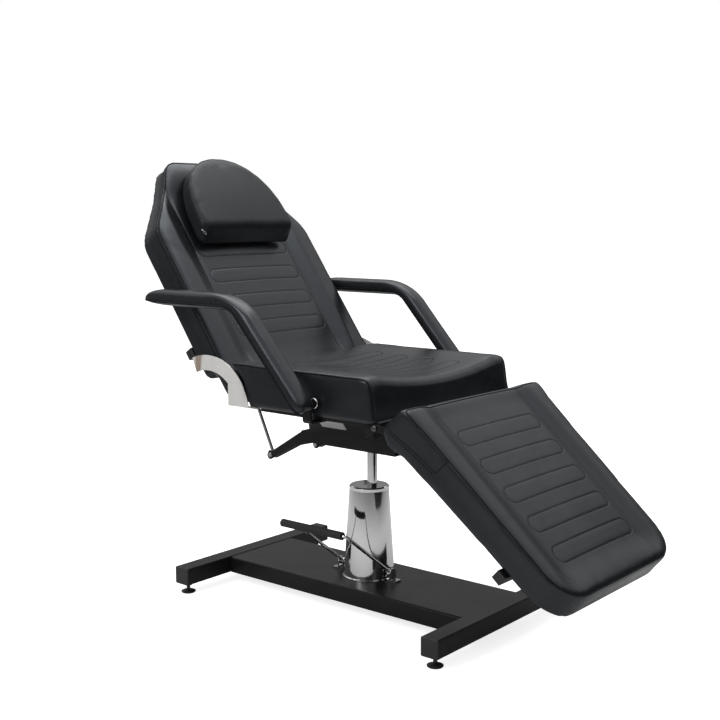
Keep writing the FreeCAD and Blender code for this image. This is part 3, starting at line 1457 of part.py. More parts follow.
doc.recompute()
problems = []
for obj in doc.Objects:
    if "Invalid" in obj.State or "Error" in obj.State:
        problems.append(obj.Label + " failed")
    elif obj.TypeId in ("PartDesign::Pocket", "PartDesign::Groove"):
        before = obj.BaseFeature
        if before is None or before.Shape.isNull():
            problems.append(obj.Label + " has no base")
        elif before.Shape.Volume - obj.Shape.Volume < 1:
            problems.append(obj.Label + " cuts nothing")
for obj in nodes:
    if obj.Shape.isNull() or not obj.Shape.isValid() or not obj.Shape.Solids:
        problems.append(obj.Label + " has no valid shape")
    elif len(obj.Shape.Solids) > 1:
        problems.append(obj.Label + " is in pieces")
for text in problems:
    print("problem:", text)
if problems:
    raise SystemExit("the model has %d problems" % len(problems))

os.makedirs("parts", exist_ok=True)
for obj in nodes:
    obj.Shape.exportStep("parts/%s.step" % obj.Label)
print(len(nodes), "pieces")
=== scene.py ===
import json
import math

import bmesh
import bpy
import numpy as np
from mathutils import Matrix, Vector
from mathutils.bvhtree import BVHTree


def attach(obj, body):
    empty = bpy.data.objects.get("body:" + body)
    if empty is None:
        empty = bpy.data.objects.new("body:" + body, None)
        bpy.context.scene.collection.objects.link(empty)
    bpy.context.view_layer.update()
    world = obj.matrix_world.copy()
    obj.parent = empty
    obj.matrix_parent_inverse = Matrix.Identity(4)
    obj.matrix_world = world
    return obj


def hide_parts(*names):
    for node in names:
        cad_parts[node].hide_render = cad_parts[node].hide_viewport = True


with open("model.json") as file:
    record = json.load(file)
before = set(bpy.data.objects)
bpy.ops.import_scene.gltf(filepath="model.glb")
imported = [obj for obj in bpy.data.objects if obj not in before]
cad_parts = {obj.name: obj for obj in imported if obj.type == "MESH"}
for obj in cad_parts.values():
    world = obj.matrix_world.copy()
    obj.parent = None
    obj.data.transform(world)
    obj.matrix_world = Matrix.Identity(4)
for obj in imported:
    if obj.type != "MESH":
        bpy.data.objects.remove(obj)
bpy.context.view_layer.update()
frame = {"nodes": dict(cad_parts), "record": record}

# Looks of the treatment chair. Pads are shaped in millimetres in their own
# frames (across, along, out of the pad) and put in place in metres.

MM = 0.001
WELT_RADIUS = 2.2 * MM
SIM_FRAMES = 20
scene = bpy.context.scene
CENTRE_Y = 48.0


# Materials

def new_material(name):
    mat = bpy.data.materials.new(name)
    mat.use_nodes = True
    tree = mat.node_tree
    shader = tree.nodes["Principled BSDF"]
    return mat, tree, shader


def node(tree, kind, **values):
    made = tree.nodes.new(kind)
    for key, value in values.items():
        if key in made.inputs:
            made.inputs[key].default_value = value
        else:
            setattr(made, key, value)
    return made


def colour_ramp(tree, source, stops):
    ramp = tree.nodes.new("ShaderNodeValToRGB")
    elements = ramp.color_ramp.elements
    while len(elements) < len(stops):
        elements.new(0.5)
    for element, (place, value) in zip(elements, stops):
        element.position = place
        colour = value if isinstance(value, tuple) else (value, value, value)
        element.color = (*colour, 1)
    tree.links.new(source, ramp.inputs["Fac"])
    return ramp.outputs["Color"]


def object_place(tree):
    return tree.nodes.new("ShaderNodeTexCoord").outputs["Object"]


def bumped(tree, shader, layers, edge=0.0):
    """Adds bump layers of (height socket, strength, distance) on top of each other."""
    normal = None
    if edge > 0:
        bevel = node(tree, "ShaderNodeBevel", Radius=edge)
        bevel.samples = 4
        normal = bevel.outputs["Normal"]
    for height, strength, distance in layers:
        bump = node(tree, "ShaderNodeBump", Strength=strength, Distance=distance)
        tree.links.new(height, bump.inputs["Height"])
        if normal is not None:
            tree.links.new(normal, bump.inputs["Normal"])
        normal = bump.outputs["Normal"]
    if normal is not None:
        tree.links.new(normal, shader.inputs["Normal"])


def noise(tree, place, scale, detail=3.0, roughness=0.5, distortion=0.0):
    made = node(tree, "ShaderNodeTexNoise", Scale=scale, Detail=detail,
                Roughness=roughness, Distortion=distortion)
    tree.links.new(place, made.inputs["Vector"])
    return made.outputs["Fac"]


def leather(name, dark, light, rough, edge_tone, shine):
    mat, tree, shader = new_material(name)
    place = object_place(tree)
    cloud = noise(tree, place, 7.0, 4.0, 0.55)
    # Convex edges are made lighter: pointiness screens a light grey over the base colour.
    convexity = node(tree, "ShaderNodeNewGeometry").outputs["Pointiness"]
    edge = colour_ramp(tree, convexity, [(0.49, 0.0), (0.56, 1.0)])
    base = colour_ramp(tree, cloud, [(0.3, dark), (0.7, light)])
    mix = node(tree, "ShaderNodeMixRGB", blend_type="SCREEN")
    mix.inputs["Color2"].default_value = (edge_tone, edge_tone, edge_tone, 1)
    tree.links.new(edge, mix.inputs["Fac"])
    tree.links.new(base, mix.inputs["Color1"])
    tree.links.new(mix.outputs["Color"], shader.inputs["Base Color"])
    patches = noise(tree, place, 19.0, 5.0, 0.6)
    tree.links.new(colour_ramp(tree, patches, [(0.3, rough[0]), (0.7, rough[1])]),
                   shader.inputs["Roughness"])
    cells = node(tree, "ShaderNodeTexVoronoi", Scale=720.0, feature="SMOOTH_F1")
    tree.links.new(place, cells.inputs["Vector"])
    grain = noise(tree, place, 1300.0, 2.0)
    folds = noise(tree, place, 46.0, 5.0, 0.62, 0.6)
    swell = noise(tree, place, 9.0, 2.0, 0.4)
    bumped(tree, shader, [(swell, 0.12, 0.003), (folds, 0.1, 0.0006),
                          (cells.outputs["Distance"], 0.22, 0.00015),
                          (grain, 0.12, 0.0001)])
    shader.inputs["Specular IOR Level"].default_value = shine
    shader.inputs["Specular Tint"].default_value = (0.86, 0.93, 1.0, 1)
    return mat


def painted_steel(name):
    mat, tree, shader = new_material(name)
    place = object_place(tree)
    cloud = noise(tree, place, 14.0, 4.0)
    tree.links.new(colour_ramp(tree, cloud, [(0.3, (0.007, 0.007, 0.0075)),
                                             (0.75, (0.011, 0.011, 0.012))]),
                   shader.inputs["Base Color"])
    smear = noise(tree, place, 5.0, 6.0, 0.6)
    tree.links.new(colour_ramp(tree, smear, [(0.3, 0.27), (0.7, 0.4)]),
                   shader.inputs["Roughness"])
    shader.inputs["Specular IOR Level"].default_value = 0.25
    peel = noise(tree, place, 420.0, 2.0)
    bumped(tree, shader, [(peel, 0.12, 0.0002)], edge=0.0012)
    return mat


def bright_metal(name, colour, rough, brush=None, edge=0.0006):
    mat, tree, shader = new_material(name)
    place = object_place(tree)
    shader.inputs["Metallic"].default_value = 1.0
    smear = noise(tree, place, 11.0, 6.0, 0.6)
    low = tuple(c * 0.93 for c in colour)
    tree.links.new(colour_ramp(tree, smear, [(0.25, low), (0.7, colour)]),
                   shader.inputs["Base Color"])
    tree.links.new(colour_ramp(tree, smear, [(0.3, rough[0]), (0.75, rough[1])]),
                   shader.inputs["Roughness"])
    layers = []
    if brush:
        mapping = node(tree, "ShaderNodeMapping")
        mapping.inputs["Scale"].default_value = brush
        tree.links.new(place, mapping.inputs["Vector"])
        layers.append((noise(tree, mapping.outputs["Vector"], 1.0, 3.0), 0.1, 0.0001))
    else:
        layers.append((noise(tree, place, 60.0, 2.0), 0.03, 0.0002))
    bumped(tree, shader, layers, edge=edge)
    return mat


def moulded(name, colour, rough, grain, strength):
    mat, tree, shader = new_material(name)
    place = object_place(tree)
    cloud = noise(tree, place, 30.0, 3.0)
    light = tuple(min(1.0, c * 1.45) for c in colour)
    tree.links.new(colour_ramp(tree, cloud, [(0.3, colour), (0.75, light)]),
                   shader.inputs["Base Color"])
    tree.links.new(colour_ramp(tree, cloud, [(0.3, rough), (0.75, rough + 0.12)]),
                   shader.inputs["Roughness"])
    bumped(tree, shader, [(noise(tree, place, grain, 3.0), strength, 0.0003)],
           edge=0.0006)
    return mat


def polished_plate(name):
    """Bright plate, part metal, with painted stripes that stand for a pale room's reflection."""
    mat, tree, shader = new_material(name)
    place = object_place(tree)
    mapping = node(tree, "ShaderNodeMapping")
    mapping.inputs["Scale"].default_value = (1.0, 26.0, 4.0)
    tree.links.new(place, mapping.inputs["Vector"])
    stripes = noise(tree, mapping.outputs["Vector"], 1.0, 2.0, 0.4)
    tone = colour_ramp(tree, stripes, [(0.34, (0.42, 0.34, 0.28)), (0.42, (0.84, 0.83, 0.8)),
                                       (0.7, (0.9, 0.89, 0.87))])
    tree.links.new(tone, shader.inputs["Base Color"])
    shader.inputs["Metallic"].default_value = 0.3
    smear = noise(tree, place, 11.0, 6.0, 0.6)
    tree.links.new(colour_ramp(tree, smear, [(0.3, 0.2), (0.75, 0.32)]),
                   shader.inputs["Roughness"])
    bumped(tree, shader, [], edge=0.0006)
    return mat


def black_board(name):
    mat, tree, shader = new_material(name)
    place = object_place(tree)
    cloud = noise(tree, place, 25.0, 4.0)
    tree.links.new(colour_ramp(tree, cloud, [(0.3, (0.008, 0.008, 0.008)),
                                             (0.7, (0.013, 0.013, 0.013))]),
                   shader.inputs["Base Color"])
    shader.inputs["Roughness"].default_value = 0.75
    bumped(tree, shader, [(noise(tree, place, 300.0, 3.0), 0.2, 0.0003)])
    return mat


def thread(name):
    mat, tree, shader = new_material(name)
    place = object_place(tree)
    strands = noise(tree, place, 900.0, 2.0)
    tree.links.new(colour_ramp(tree, strands, [(0.3, (0.0015, 0.0015, 0.0015)),
                                               (0.7, (0.004, 0.004, 0.004))]),
                   shader.inputs["Base Color"])
    shader.inputs["Roughness"].default_value = 0.7
    bumped(tree, shader, [(strands, 0.3, 0.0002)])
    return mat


LEATHER = leather("leather", (0.0075, 0.0083, 0.01), (0.0115, 0.0126, 0.015), (0.26, 0.36),
                  0.008, 0.46)
PILLOW_LEATHER = leather("pillow_leather", (0.0085, 0.0092, 0.0105), (0.0125, 0.0133, 0.015),
                         (0.34, 0.44), 0.008, 0.27)
WELT = leather("welt_leather", (0.0016, 0.0016, 0.0018), (0.003, 0.003, 0.0033), (0.5, 0.62),
               0.0, 0.2)
STEEL = painted_steel("satin_black_steel")
CHROME = bright_metal("chrome", (0.72, 0.72, 0.73), (0.05, 0.11))
POLISHED = polished_plate("polished_steel")
ZINC = bright_metal("zinc", (0.52, 0.52, 0.5), (0.3, 0.42))
DARK_ZINC = bright_metal("dark_zinc", (0.16, 0.16, 0.16), (0.22, 0.34))
PLATE = bright_metal("bare_plate", (0.82, 0.82, 0.82), (0.32, 0.42), (20.0, 20.0, 1400.0))
PLASTIC = moulded("black_plastic", (0.014, 0.014, 0.015), 0.42, 600.0, 0.15)
RUBBER = moulded("rubber", (0.012, 0.012, 0.012), 0.62, 380.0, 0.3)
BOARD = black_board("black_board")
THREAD = thread("thread")

BY_SLOT = {"black_steel": STEEL, "chrome": CHROME, "polished_steel": POLISHED,
           "zinc": ZINC, "black_leather": LEATHER, "black_plastic": PLASTIC,
           "rubber": RUBBER, "plywood": BOARD, "plate": PLATE}
for row in frame["record"]["subparts"]:
    obj = frame["nodes"][row["node"]]
    obj.data.materials.clear()
    dark_bolt = row["node"].startswith("leg_bolt")
    obj.data.materials.append(DARK_ZINC if dark_bolt else BY_SLOT[row["material_slot"]])


# Shapes in millimetres

def ease(value, low, high):
    t = np.clip((value - low) / (high - low), 0, 1)
    return t * t * (3 - 2 * t)


def placed(origin, angle):
    """The frame of a pad: x across, y along and z out of it, in the chair."""
    place = Matrix.Translation(Vector(origin) * MM)
    return place @ Matrix.Rotation(math.radians(angle), 4, "X") @ Matrix.Scale(MM, 4)


def move_in(points, radii, step):
    """The outline with every side moved inwards; the points run to the left."""
    moved, rounded = [], []
    count = len(points)
    for i in range(count):
        before, here, after = points[i - 1], points[i], points[(i + 1) % count]
        a = Vector((here[0] - before[0], here[1] - before[1])).normalized()
        b = Vector((after[0] - here[0], after[1] - here[1])).normalized()
        share = step / (1 + a.dot(b))
        moved.append((here[0] - (a.y + b.y) * share, here[1] + (a.x + b.x) * share))
        left = a.x * b.y - a.y * b.x > 0
        rounded.append(max(radii[i] - step, radii[i] / 3) if left else radii[i] + step)
    return moved, rounded


def around(points, radii, arc=10, side=14):
    """Points along a rounded outline, the same number for each corner and side."""
    made = []
    count = len(points)
    for i in range(count):
        before, here = Vector(points[i - 1]), Vector(points[i])
        after = Vector(points[(i + 1) % count])
        a, b = (here - before).normalized(), (after - here).normalized()
        half = math.acos(max(-1, min(1, a.dot(b)))) / 2
        reach = radii[i] * math.tan(half)
        start = here - a * reach
        centre = here + (b - a).normalized() * (radii[i] / math.cos(half))
        turn = a.angle_signed(b) * -1
        corner = []
        for k in range(arc + 1):
            t = turn * k / arc
            offset = start - centre
            corner.append(centre + Vector((
                offset.x * math.cos(t) - offset.y * math.sin(t),
                offset.x * math.sin(t) + offset.y * math.cos(t))))
        made.append(corner)
    ring = []
    for i in range(count):
        ring += made[i]
        start, follow = made[i][-1], made[(i + 1) % count][0]
        for k in range(1, side):
            ring.append(start.lerp(follow, k / side))
    return ring


def mesh_data(mesh, name):
    bmesh.ops.recalc_face_normals(mesh, faces=mesh.faces)
    data = bpy.data.meshes.new(name)
    mesh.to_mesh(data)
    mesh.free()
    return data


def closed_form(rings):
    """A closed mesh through rings of points with the same count."""
    mesh = bmesh.new()
    rows = [[mesh.verts.new(p) for p in ring] for ring in rings]
    count = len(rows[0])
    for upper, lower in zip(rows, rows[1:]):
        for i in range(count):
            j = (i + 1) % count
            mesh.faces.new((upper[i], upper[j], lower[j], lower[i]))
    for row, flip in ((rows[0], True), (rows[-1], False)):
        middle = mesh.verts.new(sum((v.co for v in row), Vector()) / count)
        for i in range(count):
            j = (i + 1) % count
            loop = (row[j], row[i], middle) if flip else (row[i], row[j], middle)
            mesh.faces.new(loop)
    return mesh_data(mesh, "form")


def piece_of(name, data, material):
    obj = bpy.data.objects.new(name, data)
    scene.collection.objects.link(obj)
    data.materials.clear()
    data.materials.append(material)
    for face in data.polygons:
        face.use_smooth = True
    return obj


def applied(obj):
    """The object's mesh with its modifiers, as a new mesh; they are removed."""
    graph = bpy.context.evaluated_depsgraph_get()
    graph.update()
    made = bpy.data.meshes.new_from_object(obj.evaluated_get(graph))
    obj.modifiers.clear()
    return made


def points_of(data):
    co = np.zeros(len(data.vertices) * 3, np.float64)
    data.vertices.foreach_get("co", co)
    return co.reshape(-1, 3)


def set_points(data, co):
    data.vertices.foreach_set("co", np.ascontiguousarray(co, np.float32).ravel())
    data.update()


def normals_of(data):
    nor = np.zeros(len(data.vertices) * 3, np.float64)
    data.vertices.foreach_get("normal", nor)
    return nor.reshape(-1, 3)


def soft_pad(name, data, voxel, cap, hold, shape, matrix):
    """Remeshes the form, lets pressure fill it, holds what rests on its board, and shapes it."""
    obj = piece_of(name, data, LEATHER)
    size = Matrix.Scale(MM, 4)
    obj.data.transform(size)
    remesh = obj.modifiers.new("voxels", "REMESH")
    remesh.mode = "VOXEL"
    remesh.voxel_size = voxel * MM
    remesh.use_smooth_shade = True
    relax = obj.modifiers.new("relax", "SMOOTH")
    relax.factor = 0.5
    relax.iterations = 2
    obj.data = applied(obj)
    rest = points_of(obj.data)
    cloth = obj.modifiers.new("cloth", "CLOTH")
    settings = cloth.settings
    settings.use_pressure = True
    settings.uniform_pressure_force = 4.0
    settings.quality = 4
    settings.mass = 0.3
    settings.tension_stiffness = 12.0
    settings.compression_stiffness = 12.0
    settings.shear_stiffness = 6.0
    settings.bending_stiffness = 0.6
    settings.effector_weights.gravity = 0.0
    cloth.point_cache.frame_start = 1
    cloth.point_cache.frame_end = SIM_FRAMES
    for step in range(1, SIM_FRAMES + 1):
        scene.frame_set(step)
    filled = points_of(applied(obj))
    scene.frame_set(1)
    moved = filled - rest
    far = np.linalg.norm(moved, axis=1, keepdims=True)
    moved *= np.minimum(1.0, cap * MM / np.maximum(far, 1e-9))
    rest = rest + moved * hold(rest / MM)[:, None]
    set_points(obj.data, rest)
    subdivide = obj.modifiers.new("smooth", "SUBSURF")
    subdivide.levels = 2
    obj.data = applied(obj)
    co = points_of(obj.data) / MM
    set_points(obj.data, shape(co, normals_of(obj.data)))
    obj.data.transform(matrix)
    for face in obj.data.polygons:
        face.use_smooth = True
    return obj


def surface(obj):
    graph = bpy.context.evaluated_depsgraph_get()
    return BVHTree.FromObject(obj, graph)


def on_surface(tree, points, lift):
    """The points moved onto the surface, and lifted off it; with their normals."""
    made, normals = [], []
    for p in points:
        place, normal, _, _ = tree.find_nearest(p)
        made.append(place + normal * lift)
        normals.append(normal)
    return made, normals


def even(points, step, closed):
    """The line cut into even steps."""
    line = list(points) + ([points[0]] if closed else [])
    lengths = [0.0]
    for a, b in zip(line, line[1:]):
        lengths.append(lengths[-1] + (b - a).length)
    total = lengths[-1]
    count = max(2, int(round(total / step)))
    made, k = [], 0
    for i in range(count + (0 if closed else 1)):
        want = total * i / count
        while k < len(line) - 2 and lengths[k + 1] < want:
            k += 1
        span = lengths[k + 1] - lengths[k]
        made.append(line[k].lerp(line[k + 1], (want - lengths[k]) / max(span, 1e-9)))
    return made


def tube(name, lines, radius, material, sides=8):
    """Round cords along lines of (points, normals, closed), as one mesh."""
    mesh = bmesh.new()
    for points, normals, closed in lines:
        rows = []
        count = len(points)
        for i in range(count):
            before = points[(i - 1) % count] if closed or i else points[0]
            after = points[(i + 1) % count] if closed or i < count - 1 else points[-1]
            along = (after - before).normalized()
            up = (normals[i] - along * normals[i].dot(along)).normalized()
            out = along.cross(up)
            row = []
            for k in range(sides):
                t = 2 * math.pi * k / sides
                row.append(mesh.verts.new(points[i] + (up * math.sin(t)
                                                       + out * math.cos(t)) * radius))
            rows.append(row)
        pairs = list(zip(rows, rows[1:]))
        if closed:
            pairs.append((rows[-1], rows[0]))
        for a, b in pairs:
            for k in range(sides):
                j = (k + 1) % sides
                mesh.faces.new((a[k], a[j], b[j], b[k]))
        if not closed:
            mesh.faces.new(rows[0][::-1])
            mesh.faces.new(rows[-1])
    return piece_of(name, mesh_data(mesh, name), material)


STITCH_LENGTH, STITCH_RADIUS = 4.6 * MM, 1.15 * MM


def stitches(name, lines):
    """Rows of sewn stitches: short rounded threads that dip in at both ends."""
    mesh = bmesh.new()
    sides = 6
    shape = [(-0.5, 0.3, -0.9), (-0.32, 0.9, -0.15), (0.0, 1.0, 0.25),
             (0.32, 0.9, -0.15), (0.5, 0.3, -0.9)]
    for points, normals, closed in lines:
        count = len(points)
        for i in range(0, count - (0 if closed else 1)):
            here, after = points[i], points[(i + 1) % count]
            along = (after - here).normalized()
            up = (normals[i] - along * normals[i].dot(along)).normalized()
            out = along.cross(up)
            middle = (here + after) / 2
            rows = []
            for place, wide, high in shape:
                centre = middle + along * place * STITCH_LENGTH + up * high * STITCH_RADIUS
                rows.append([mesh.verts.new(
                    centre + (up * math.sin(2 * math.pi * k / sides)
                              + out * math.cos(2 * math.pi * k / sides))
                    * STITCH_RADIUS * wide)
                    for k in range(sides)])
            for a, b in zip(rows, rows[1:]):
                for k in range(sides):
                    j = (k + 1) % sides
                    mesh.faces.new((a[k], a[j], b[j], b[k]))
            mesh.faces.new(rows[0][::-1])
            mesh.faces.new(rows[-1])
    return piece_of(name, mesh_data(mesh, name), THREAD)


# Sewn pills on the seat, back and leg rest, in millimetres
PILL_HALF = 176.0
PILL_HIGH = 45.0
PITCH = 87.0
GROOVE_DEPTH, GROOVE_WIDTH = 0.8, 2.0
PILL_PUFF, PILL_SLOPE = 0.4, 14
STITCH_PITCH = 7.0


def pill_line(low, high):
    """The stadium line of a sewn pill, in the pad's frame."""
    r = (high - low) / 2
    flat = PILL_HALF - r
    mid = (high + low) / 2
    line = [Vector((-flat, low, 0)), Vector((flat, low, 0))]
    for k in range(1, 16):
        t = math.pi * (k / 16 - 0.5)
        line.append(Vector((flat + r * math.cos(t), mid + r * math.sin(t), 0)))
    line += [Vector((flat, high, 0)), Vector((-flat, high, 0))]
    for k in range(1, 16):
        t = math.pi * (k / 16 + 0.5)
        line.append(Vector((-flat + r * math.cos(t), mid + r * math.sin(t), 0)))
    return even(line, STITCH_PITCH, True)


def pill_distance(x, y, low, high):
    """How far points are from the stadium line, negative inside it."""
    r = (high - low) / 2
    flat = PILL_HALF - r
    mid = (high + low) / 2
    dx = np.maximum(np.abs(x) - flat, 0)
    return np.hypot(dx, y - mid) - r


def sewn(x, y, pills):
    """Sewn pills: a groove along each line, and a little filling inside it."""
    out = np.zeros_like(x)
    for low, high in pills:
        d = pill_distance(x, y, low, high)
        out -= GROOVE_DEPTH * np.exp(-(d / GROOVE_WIDTH) ** 2)
        out += PILL_PUFF * ease(-d, 0, PILL_SLOPE)
    return out


# Seat pad: raised along both sides, low in the middle, and a curved rear face

SEAT_TOP, SEAT_LOW = 667.0, 556.0
SEAT_HALF = 300.0
SEAT_FRONT, SEAT_FRONT_LOW = -250.0, -267.0
RECLINE_Y, RECLINE_Z = 295.0, 528.0
REAR_RADIUS = 153.6
DISH = 24.0
SIDE_ROLL, FRONT_ROLL = 9.0, 24.0

# seat and leg rest: the form is set in, for the filling to swell, and rolls in below
SET_IN, LOW_ROLL = 1.5, 6.0
QUARTER = (0, math.pi / 6, math.pi / 3, math.pi / 2)


def roll_steps(top_roll, low_roll, thick, draw):
    """Pairs of (depth, set in) down the side of a pad."""
    steps = []
    for k in range(7):
        t = math.pi / 2 * k / 6
        steps.append((top_roll * (1 - math.cos(t)), top_roll * (1 - math.sin(t))))
    middle = (top_roll + thick - low_roll) / 2
    steps.append((middle, draw))
    for k in range(4):
        t = math.pi / 2 * k / 3
        steps.append((thick - low_roll * (1 - math.sin(t)), low_roll * (1 - math.cos(t))))
    return steps


def rolled(depth, roll):
    """How far a rolled edge is set in at a depth below the face."""
    return roll - math.sqrt(max(0.0, roll ** 2 - max(0.0, roll - depth) ** 2))


def seat_ring(z, inset):
    rear = RECLINE_Y - math.sqrt(REAR_RADIUS ** 2 - (z - RECLINE_Z) ** 2)
    depth = SEAT_TOP - z
    front = SEAT_FRONT + (SEAT_FRONT_LOW - SEAT_FRONT) * depth / (SEAT_TOP - SEAT_LOW)
    front += rolled(depth, FRONT_ROLL)
    half = SEAT_HALF - rolled(depth, SIDE_ROLL)
    points = [(-half, front), (half, front), (half, rear - rolled(depth, SIDE_ROLL)),
              (-half, rear - rolled(depth, SIDE_ROLL))]
    points, radii = move_in(points, [20, 20, 4, 4], inset)
    return [Vector((p.x, p.y, z)) for p in around(points, radii)]


def seat_dish(x, y):
    """How deep the seat's hollow is; it fades towards the backrest."""
    return DISH * np.clip(1 - (x / 250.0) ** 2, 0, 1) * (1 - 0.6 * ease(y, 0, 200))


SEAT_PILLS = [(-186 + PITCH * k, -186 + PITCH * k + PILL_HIGH) for k in range(4)]


def seat_shape(co, nor):
    x, y, z = co.T
    up = ease(z, SEAT_LOW + 22, SEAT_TOP - 4)
    top = ease(nor[:, 2], 0.35, 0.9)
    co[:, 2] -= seat_dish(x, y) * up
    co[:, 2] += sewn(x, y, SEAT_PILLS) * top
    # the lower rear corners reach the guards
    rear = RECLINE_Y - np.sqrt(REAR_RADIUS ** 2 - (np.clip(z, 540, 670) - RECLINE_Z) ** 2)
    near = ease(np.abs(x), 282, 295) * ease(y - rear, -24, -6) * (1 - ease(z, 590, 630))
    co[:, 1] += 9.0 * near
    return co


def seat_hold(co):
    z = co[:, 2]
    return ease(z, SEAT_LOW + 4, SEAT_LOW + 40) * (1 - 0.8 * ease(co[:, 1], 100, 150))


AT_SEAT = placed((0, CENTRE_Y, 0), 0)
heights = [SEAT_TOP - SET_IN - FRONT_ROLL * (k / 9) ** 2 for k in range(10)]
heights += [SEAT_TOP - SET_IN - FRONT_ROLL - 19.0 * k for k in range(1, 4)]
rings = [seat_ring(z, SET_IN) for z in heights]
rings += [seat_ring(SEAT_LOW + LOW_ROLL * (1 - math.sin(t)),
                    SET_IN + LOW_ROLL * (1 - math.cos(t))) for t in QUARTER]
seat_pad = soft_pad("seat_pad", closed_form(rings), 7.0, 2.5, seat_hold, seat_shape, AT_SEAT)


def dress(pad, node_name, body):
    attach(pad, body)
    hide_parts(node_name)


def trim(piece, body):
    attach(piece, body)


dress(seat_pad, "seat_cushion", "seat")


def laid(tree, matrix, points, lift, probe):
    """A line given in the pad's frame, laid on the pad from outside it."""
    out = (matrix.to_3x3() @ Vector(probe)).normalized()
    made, normals = [], []
    for p in points:
        start = matrix @ p + out * 0.08
        place, normal, _, _ = tree.ray_cast(start, -out, 0.25)
        if place is None:
            place, normal, _, _ = tree.find_nearest(matrix @ p)
        made.append(place + normal * lift * MM)
        normals.append(normal)
    return made, normals


def pill_rows(tree, matrix, pills, height):
    lines = []
    for low, high in pills:
        line = pill_line(low, high)
        for p in line:
            p.z = height
        made, normals = laid(tree, matrix, line, 0.1, (0, 0, 1))
        lines.append((made, normals, True))
    return lines


tree = surface(seat_pad)
trim(stitches("seat_stitching", pill_rows(tree, AT_SEAT, SEAT_PILLS, SEAT_TOP)), "seat")


def edge_line(tree, matrix, ring, lift):
    """A closed line near the pad's edge, moved onto its surface."""
    line = even([matrix @ p for p in ring], 5.0 * MM, True)
    made, normals = on_surface(tree, line, lift * MM)
    return made, normals, True


def seam_lines(tree, matrix, lines, lift, step=5.0):
    """Open lines in the pad's frame, moved onto its surface."""
    made = []
    for line in lines:
        line = even([matrix @ p for p in line], step * MM, False)
        points, normals = on_surface(tree, line, lift * MM)
        made.append((points, normals, False))
    return made


# the side panels' welts run along the top and down the front corners
side_lines = []
for hand in (-1, 1):
    line = [Vector((hand * 299.5, y, SEAT_TOP - 2.0)) for y in range(205, -226, -10)]
    for k in range(9):
        t = math.pi / 2 * k / 8
        line.append(Vector((hand * 299, -232 - 20 * math.sin(t),
                            SEAT_TOP - 2 - 20 * (1 - math.cos(t)))))
    line += [Vector((hand * 297.5, -254 - 0.155 * (645 - z), z)) for z in range(640, 561, -8)]
    side_lines.append(line)
trim(tube("seat_welt", seam_lines(tree, AT_SEAT, side_lines, 0.8), WELT_RADIUS, WELT), "seat")

# Backrest pad, in the frame of the recline hinge: along runs up the back

VALLEY = 2.2
BACK_RISE = 61.1
BACK_DEPTH = 125.0
BACK_THICK, BACK_THIN = 90.0, 64.0
BACK_AT = placed((0, RECLINE_Y + CENTRE_Y, RECLINE_Z), -35.56)
# local x across, local z along the back, local -y out of the front
BACK_FRAME = BACK_AT @ Matrix(((1, 0, 0, 0), (0, 0, -1, -BACK_DEPTH),
                               (0, 1, 0, BACK_RISE), (0, 0, 0, 1)))


def back_outline(foot):
    right = [(300, foot), (300, 448), (204, 578), (144, 680)]
    radii = [24, 95, 70, 60]
    left = [(-x, z) for x, z in reversed(right)]
    return right + left, radii + radii[::-1]


def back_foot(depth):
    """Where the pad's lower edge is: the front runs down as a lip."""
    if depth < 44:
        return -110 + 31 * depth / 44
    return -110 + 31 + (9 + 110 - 31) * float(ease(np.array(depth), 44, 54))


def back_ring(depth, inset):
    foot = back_foot(depth)
    points, radii = move_in(*back_outline(foot), inset)
    return [Vector((p.x, p.y, -depth)) for p in around(points, radii)]


BACK_PILLS = [(95 + PITCH * k, 95 + PITCH * k + 43) for k in range(4)]


def back_thickness(s):
    return BACK_THICK - (BACK_THICK - BACK_THIN) * np.clip((s - 420) / 260, 0, 1)


def sunk(x, s, low, high, deep, crown, inner=184.0, outer=242.0):
    """How far the middle panel lies below the raised sides."""
    window = ease(s, low[0], low[1]) * (1 - ease(s, high[0], high[1]))
    across = 1 - ease(np.abs(x), inner, outer)
    filled = crown * (1 - np.clip(np.abs(x) / inner, 0, 1) ** 2)
    crease = VALLEY * np.exp(-((np.abs(x) - inner - 4) / 5.0) ** 2)
    return (deep * across - filled + crease) * window


def back_shape(co, nor):
    x, s, z = co.T
    share = back_thickness(s) / BACK_THICK
    co[:, 2] = z * share
    top = ease(nor[:, 2], 0.35, 0.9)
    front = ease(z, -40, -6)
    co[:, 2] -= sunk(x, s, (-60, 60), (540, 650), 16.0, 6.0) * front
    co[:, 2] += sewn(x, s, BACK_PILLS) * top
    roll = ease(-s, 40, 120)
    co[:, 2] -= 10 * roll * front
    return co


def back_hold(co):
    return ease(co[:, 2], -86, -50) * (0.25 + 0.75 * ease(co[:, 1], -70, 60))


steps = roll_steps(15.0, 7.0, BACK_THICK, 3.0)
fine = []
for a, b in zip(steps, steps[1:]):
    fine.append(a)
    gap = b[0] - a[0]
    if gap > 6:
        parts = int(gap / 3)
        fine += [(a[0] + gap * k / parts, a[1] + (b[1] - a[1]) * k / parts)
                 for k in range(1, parts)]
fine.append(steps[-1])
rings = [back_ring(3.0 + d * (BACK_THICK - 4.5) / BACK_THICK, i + 3.0) for d, i in fine]
back_pad = soft_pad("back_pad", closed_form(rings), 7.5, 2.5, back_hold, back_shape,
                    BACK_FRAME)
dress(back_pad, "back_cushion", "backrest")
tree = surface(back_pad)
trim(stitches("back_stitching", pill_rows(tree, BACK_FRAME, BACK_PILLS, 0)), "backrest")
back_edges = [edge_line(tree, BACK_FRAME, back_ring(8.0, 5.0), 0.8),
              edge_line(tree, BACK_FRAME, back_ring(20.0, 0.0), 0.2)]
trim(tube("back_welt", back_edges[:1], WELT_RADIUS, WELT), "backrest")
trim(tube("back_side_seam", back_edges[1:], 1.0 * MM, WELT, 6), "backrest")

# Leg rest pad, in the frame of its hinge: along runs from the hinge to the foot

